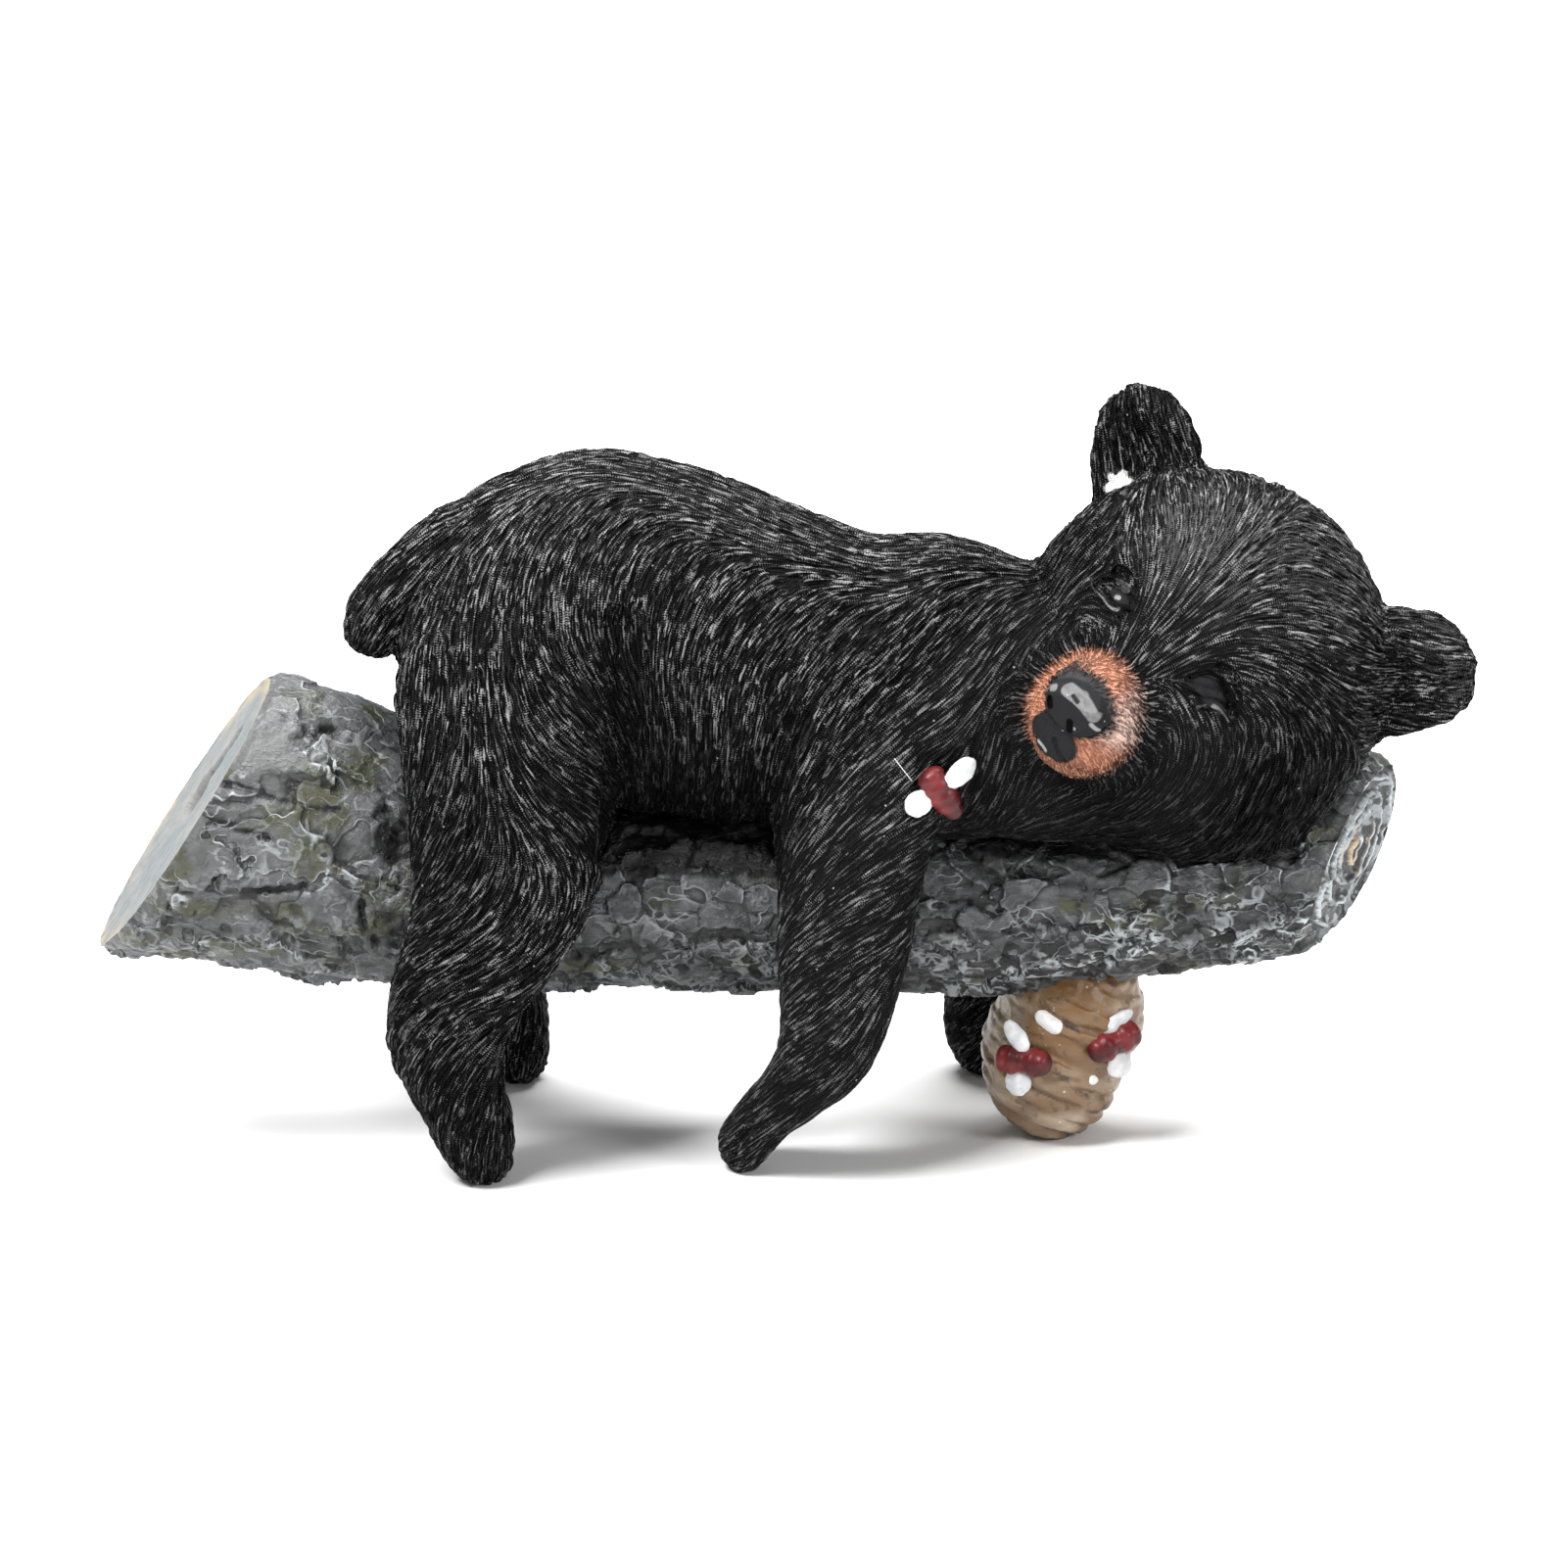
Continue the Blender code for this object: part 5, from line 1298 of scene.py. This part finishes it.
def bark_paint():
    """Grey with pale lips on the plates and black painted shadow under them, painted shade in low spots, cracks
    and between the arcs of the ringed end, and black painted shadow under the bear.
    """
    paint = Paint("bark_grey", 0.42, Specular_IOR_Level=0.3)
    stub, low, curled, collar = paint.read("stub", "low", "curled", "collar")
    face, whole, layers, cream = paint.read("face", "whole", "layers", "cream")
    crest, olive, black = paint.read("crest", "olive", "black")
    edges = paint.read("mid", "small", "big")
    body = 1.0 - stub * 0.7
    shares = (body, (low * 0.75 + 0.2) * body, stub)
    lips = [edge.ramp(0.0, 0.08) * edge.ramp(0.38, 0.14) * share for edge, share in zip(edges, shares)]
    # painted shadow under the edge of each plate that a higher plate covers
    plate_shadows = [edge.ramp(-0.75, -0.05) * edge.ramp(0.06, -0.02) * share for edge, share in zip(edges, shares)]
    lip = paint.most(*lips) * (paint.noise(330.0).ramp(0.40, 0.54) * curled)
    swirl = abs(paint.noise(190.0, 2.0, (0.6, 1.0, 1.0)) - 0.5).ramp(0.020, 0.006)
    swirl = swirl * (paint.noise(80.0, 2.0).ramp(0.50, 0.58) * 0.45)
    base = paint.noise(120.0, 4.0).ramp(0.38, 0.62).mix((0.036, 0.037, 0.038), (0.088, 0.090, 0.092))
    base = (stub * 0.6).mix(base, (0.105, 0.108, 0.108))
    brushed = paint.noise(800.0, 3.0, (0.4, 1.0, 1.0)).ramp(0.54, 0.66)
    base = (brushed * 0.2).mix(base, (0.26, 0.28, 0.29))
    base = (paint.noise(600.0, 4.0).ramp(0.42, 0.34) * 0.5).mix(base, grey(0.02))
    green = olive * paint.noise(300.0).ramp(0.36, 0.52)
    colour = (green * 0.85).mix(base, (0.052, 0.054, 0.024))
    colour = (collar * 0.75).mix(colour, (0.122, 0.125, 0.125))
    # painted shadow, kept off the collar and the ringed end's face
    covered = paint.most(*plate_shadows) * (0.85 - collar * 0.7) * (1.0 - face)
    layer = paint.math("FRACT", layers)
    ridge = layer.ramp(0.74, 0.84) * layer.ramp(1.0, 0.93) * (whole * paint.noise(150.0, 2.0).ramp(0.36, 0.50))
    # painted shade in the troughs between the ring's raised lips
    dip = layer.ramp(0.20, 0.40) * layer.ramp(0.76, 0.68)
    blotches = paint.noise(260.0).ramp(0.52, 0.60) * (face * 0.55)
    pale = paint.most(lip, swirl * 0.7, ridge, blotches)
    colour = covered.mix(colour, grey(0.004))
    colour = (dip * whole * 0.75).mix(colour, grey(0.030))
    # painted shade in low spots and cracks of the bark
    colour = crest.ramp(-0.15, -0.9).mix(colour, grey(0.008))
    tint = (cream * paint.noise(170.0, 2.0).ramp(0.5, 0.6)).mix((0.52, 0.56, 0.58), (0.60, 0.46, 0.33))
    colour = (pale * 0.9).mix(colour, tint)
    # black painted shadow on the branch under the bear
    paint.colour(black.mix(colour, grey(0.003)))
    paint.bump(pale * 0.8 + paint.noise(600.0, 4.0) + brushed * 0.3, 0.00045)
    return paint.material


def cut_paint():
    paint = Paint("cut_wood", 0.6, Specular_IOR_Level=0.2)
    rim, hole = paint.read("rim", "hole")
    colour = paint.noise(70.0).ramp(0.35, 0.65).mix((0.235, 0.235, 0.225), (0.170, 0.195, 0.205))
    colour = (paint.noise(420.0, 4.0).ramp(0.40, 0.62) * 0.35).mix(colour, (0.115, 0.115, 0.112))
    colour = (rim.ramp(0.84, 0.98) * paint.noise(120.0).ramp(0.4, 0.6)).mix(colour, (0.33, 0.28, 0.19))
    # the keyhole recess painted nearly black, as painted shade
    paint.colour(hole.mix(colour, grey(0.02)))
    paint.bump(paint.noise(700.0, 4.0), 0.0003, 0.8)
    return paint.material


def nest_paint():
    paint = Paint("nest_tan", 0.4, Coat_Weight=0.1, Coat_Roughness=0.25)
    brown_wash_and_painted_light, line, low, fold, touch = paint.read("brown_wash_and_painted_light", "line", "low", "fold", "touch")
    tan = brown_wash_and_painted_light.ramp(-0.9, 1.1).mix((0.41, 0.325, 0.235), (0.150, 0.072, 0.022))
    tan = (paint.noise(260.0, 5.0, (0.6, 0.6, 1.5)).ramp(0.36, 0.64) * 0.55).mix(tan, (0.165, 0.098, 0.045))
    tan = (paint.noise(420.0, 4.0).ramp(0.57, 0.66) * 0.65).mix(tan, (0.05, 0.028, 0.013))
    # dark brown in the grooves between coils and in the folds: painted shade
    line = line.ramp(0.80, 1.0) * paint.noise(150.0).ramp(0.40, 0.55) * (low * 0.4 + 0.4)
    line = paint.most(line, fold.ramp(0.15, 0.55) * 0.95)
    colour = line.mix(tan, (0.035, 0.020, 0.010))
    colour = (paint.noise(520.0, 2.0).ramp(0.70, 0.74) * 0.6).mix(colour, (0.62, 0.60, 0.56))
    paint.colour(touch.ramp(0.35, 0.65).mix(colour, grey(0.66)))
    paint.bump(paint.noise(700.0, 4.0), 0.0003, 0.9)
    return paint.material


def bee_paint():
    paint = Paint("bee_red", 0.38, Specular_IOR_Level=0.3)
    paint.colour(paint.noise(190.0, 1.0).ramp(0.34, 0.66).mix((0.050, 0.005, 0.006), (0.165, 0.017, 0.019)))
    paint.bump(paint.noise(900.0, 2.0), 0.0002, 0.7)
    return paint.material


def wing_paint():
    paint = Paint("wing_white", 0.45)
    paint.colour(paint.noise(400.0, 2.0).ramp(0.35, 0.65).mix((0.50, 0.51, 0.52), grey(0.68)))
    paint.bump(paint.noise(600.0, 2.0), 0.0002, 0.5)
    return paint.material


def finish(obj, material):
    obj.data.materials.clear()
    obj.data.materials.append(material)
    obj.location = -Vector(BOX_MIDDLE) * MM
    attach(obj, "root")
    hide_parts(NODE)


def area_light(name, place, target, size, power, colour=(1.0, 1.0, 1.0)):
    light = bpy.data.lights.new(name, "AREA")
    light.shape, light.size, light.size_y = "RECTANGLE", *size
    light.energy, light.color = power, colour
    obj = bpy.data.objects.new(name, light)
    obj.location = place
    obj.rotation_euler = (Vector(target) - Vector(place)).to_track_quat("-Z", "Y").to_euler()
    bpy.context.scene.collection.objects.link(obj)


def studio():
    bm = bmesh.new()
    bmesh.ops.create_grid(bm, x_segments=1, y_segments=1, size=6.0)
    mesh = bpy.data.meshes.new("floor")
    bm.to_mesh(mesh)
    bm.free()
    floor = bpy.data.objects.new("floor", mesh)
    paint = Paint("floor", 0.9)
    paint.colour((0.86, 0.86, 0.86))
    mesh.materials.append(paint.material)
    bpy.context.scene.collection.objects.link(floor)
    world = bpy.data.worlds.new("studio")
    world.use_nodes = True
    world.node_tree.nodes["Background"].inputs["Color"].default_value = (1.0, 1.0, 1.0, 1.0)
    world.node_tree.nodes["Background"].inputs["Strength"].default_value = 0.35
    scene = bpy.context.scene
    scene.world = world
    scene.view_settings.view_transform = "Standard"
    area_light("key", (-0.45, -0.45, 1.0), (0.0, 0.0, 0.07), (0.35, 0.35), 20.0)
    area_light("top", (0.05, 0.30, 1.0), (0.0, 0.0, 0.07), (0.8, 0.3), 16.0)
    area_light("fill", (0.9, -0.7, 0.6), (0.0, 0.0, 0.07), (0.3, 0.3), 6.0)
    area_light("back", (0.0, 2.4, 1.6), (0.0, 3.4, 0.0), (3.0, 1.5), 90.0)


def camera():
    tilt = np.radians(CAMERA_TILT)
    data = bpy.data.cameras.new("photo")
    data.sensor_width, data.lens = 36.0, 36.0 * CAMERA_AWAY / CAMERA_SPAN
    obj = bpy.data.objects.new("photo", data)
    obj.location = Vector(CAMERA_AIM) + Vector((0.0, -np.cos(tilt), np.sin(tilt))) * CAMERA_AWAY
    obj.rotation_euler = (np.pi / 2 - tilt, 0.0, 0.0)
    bpy.context.scene.collection.objects.link(obj)
    bpy.context.scene.camera = obj



camera()
studio()
fur = fur_paint()
for piece in bear():
    finish(piece, fur)
bark_grey = bark_paint()
side, trunk, rings = branch()
finish(side, bark_grey)
finish(trunk, cut_paint())
finish(rings, bark_grey)
finish(nest(), nest_paint())
red, white = bee_paint(), wing_paint()
finish(thread(), white)
for number, details in enumerate(BEES):
    body, *wings = bee(number, *details)
    finish(body, red)
    for wing in wings:
        finish(wing, white)
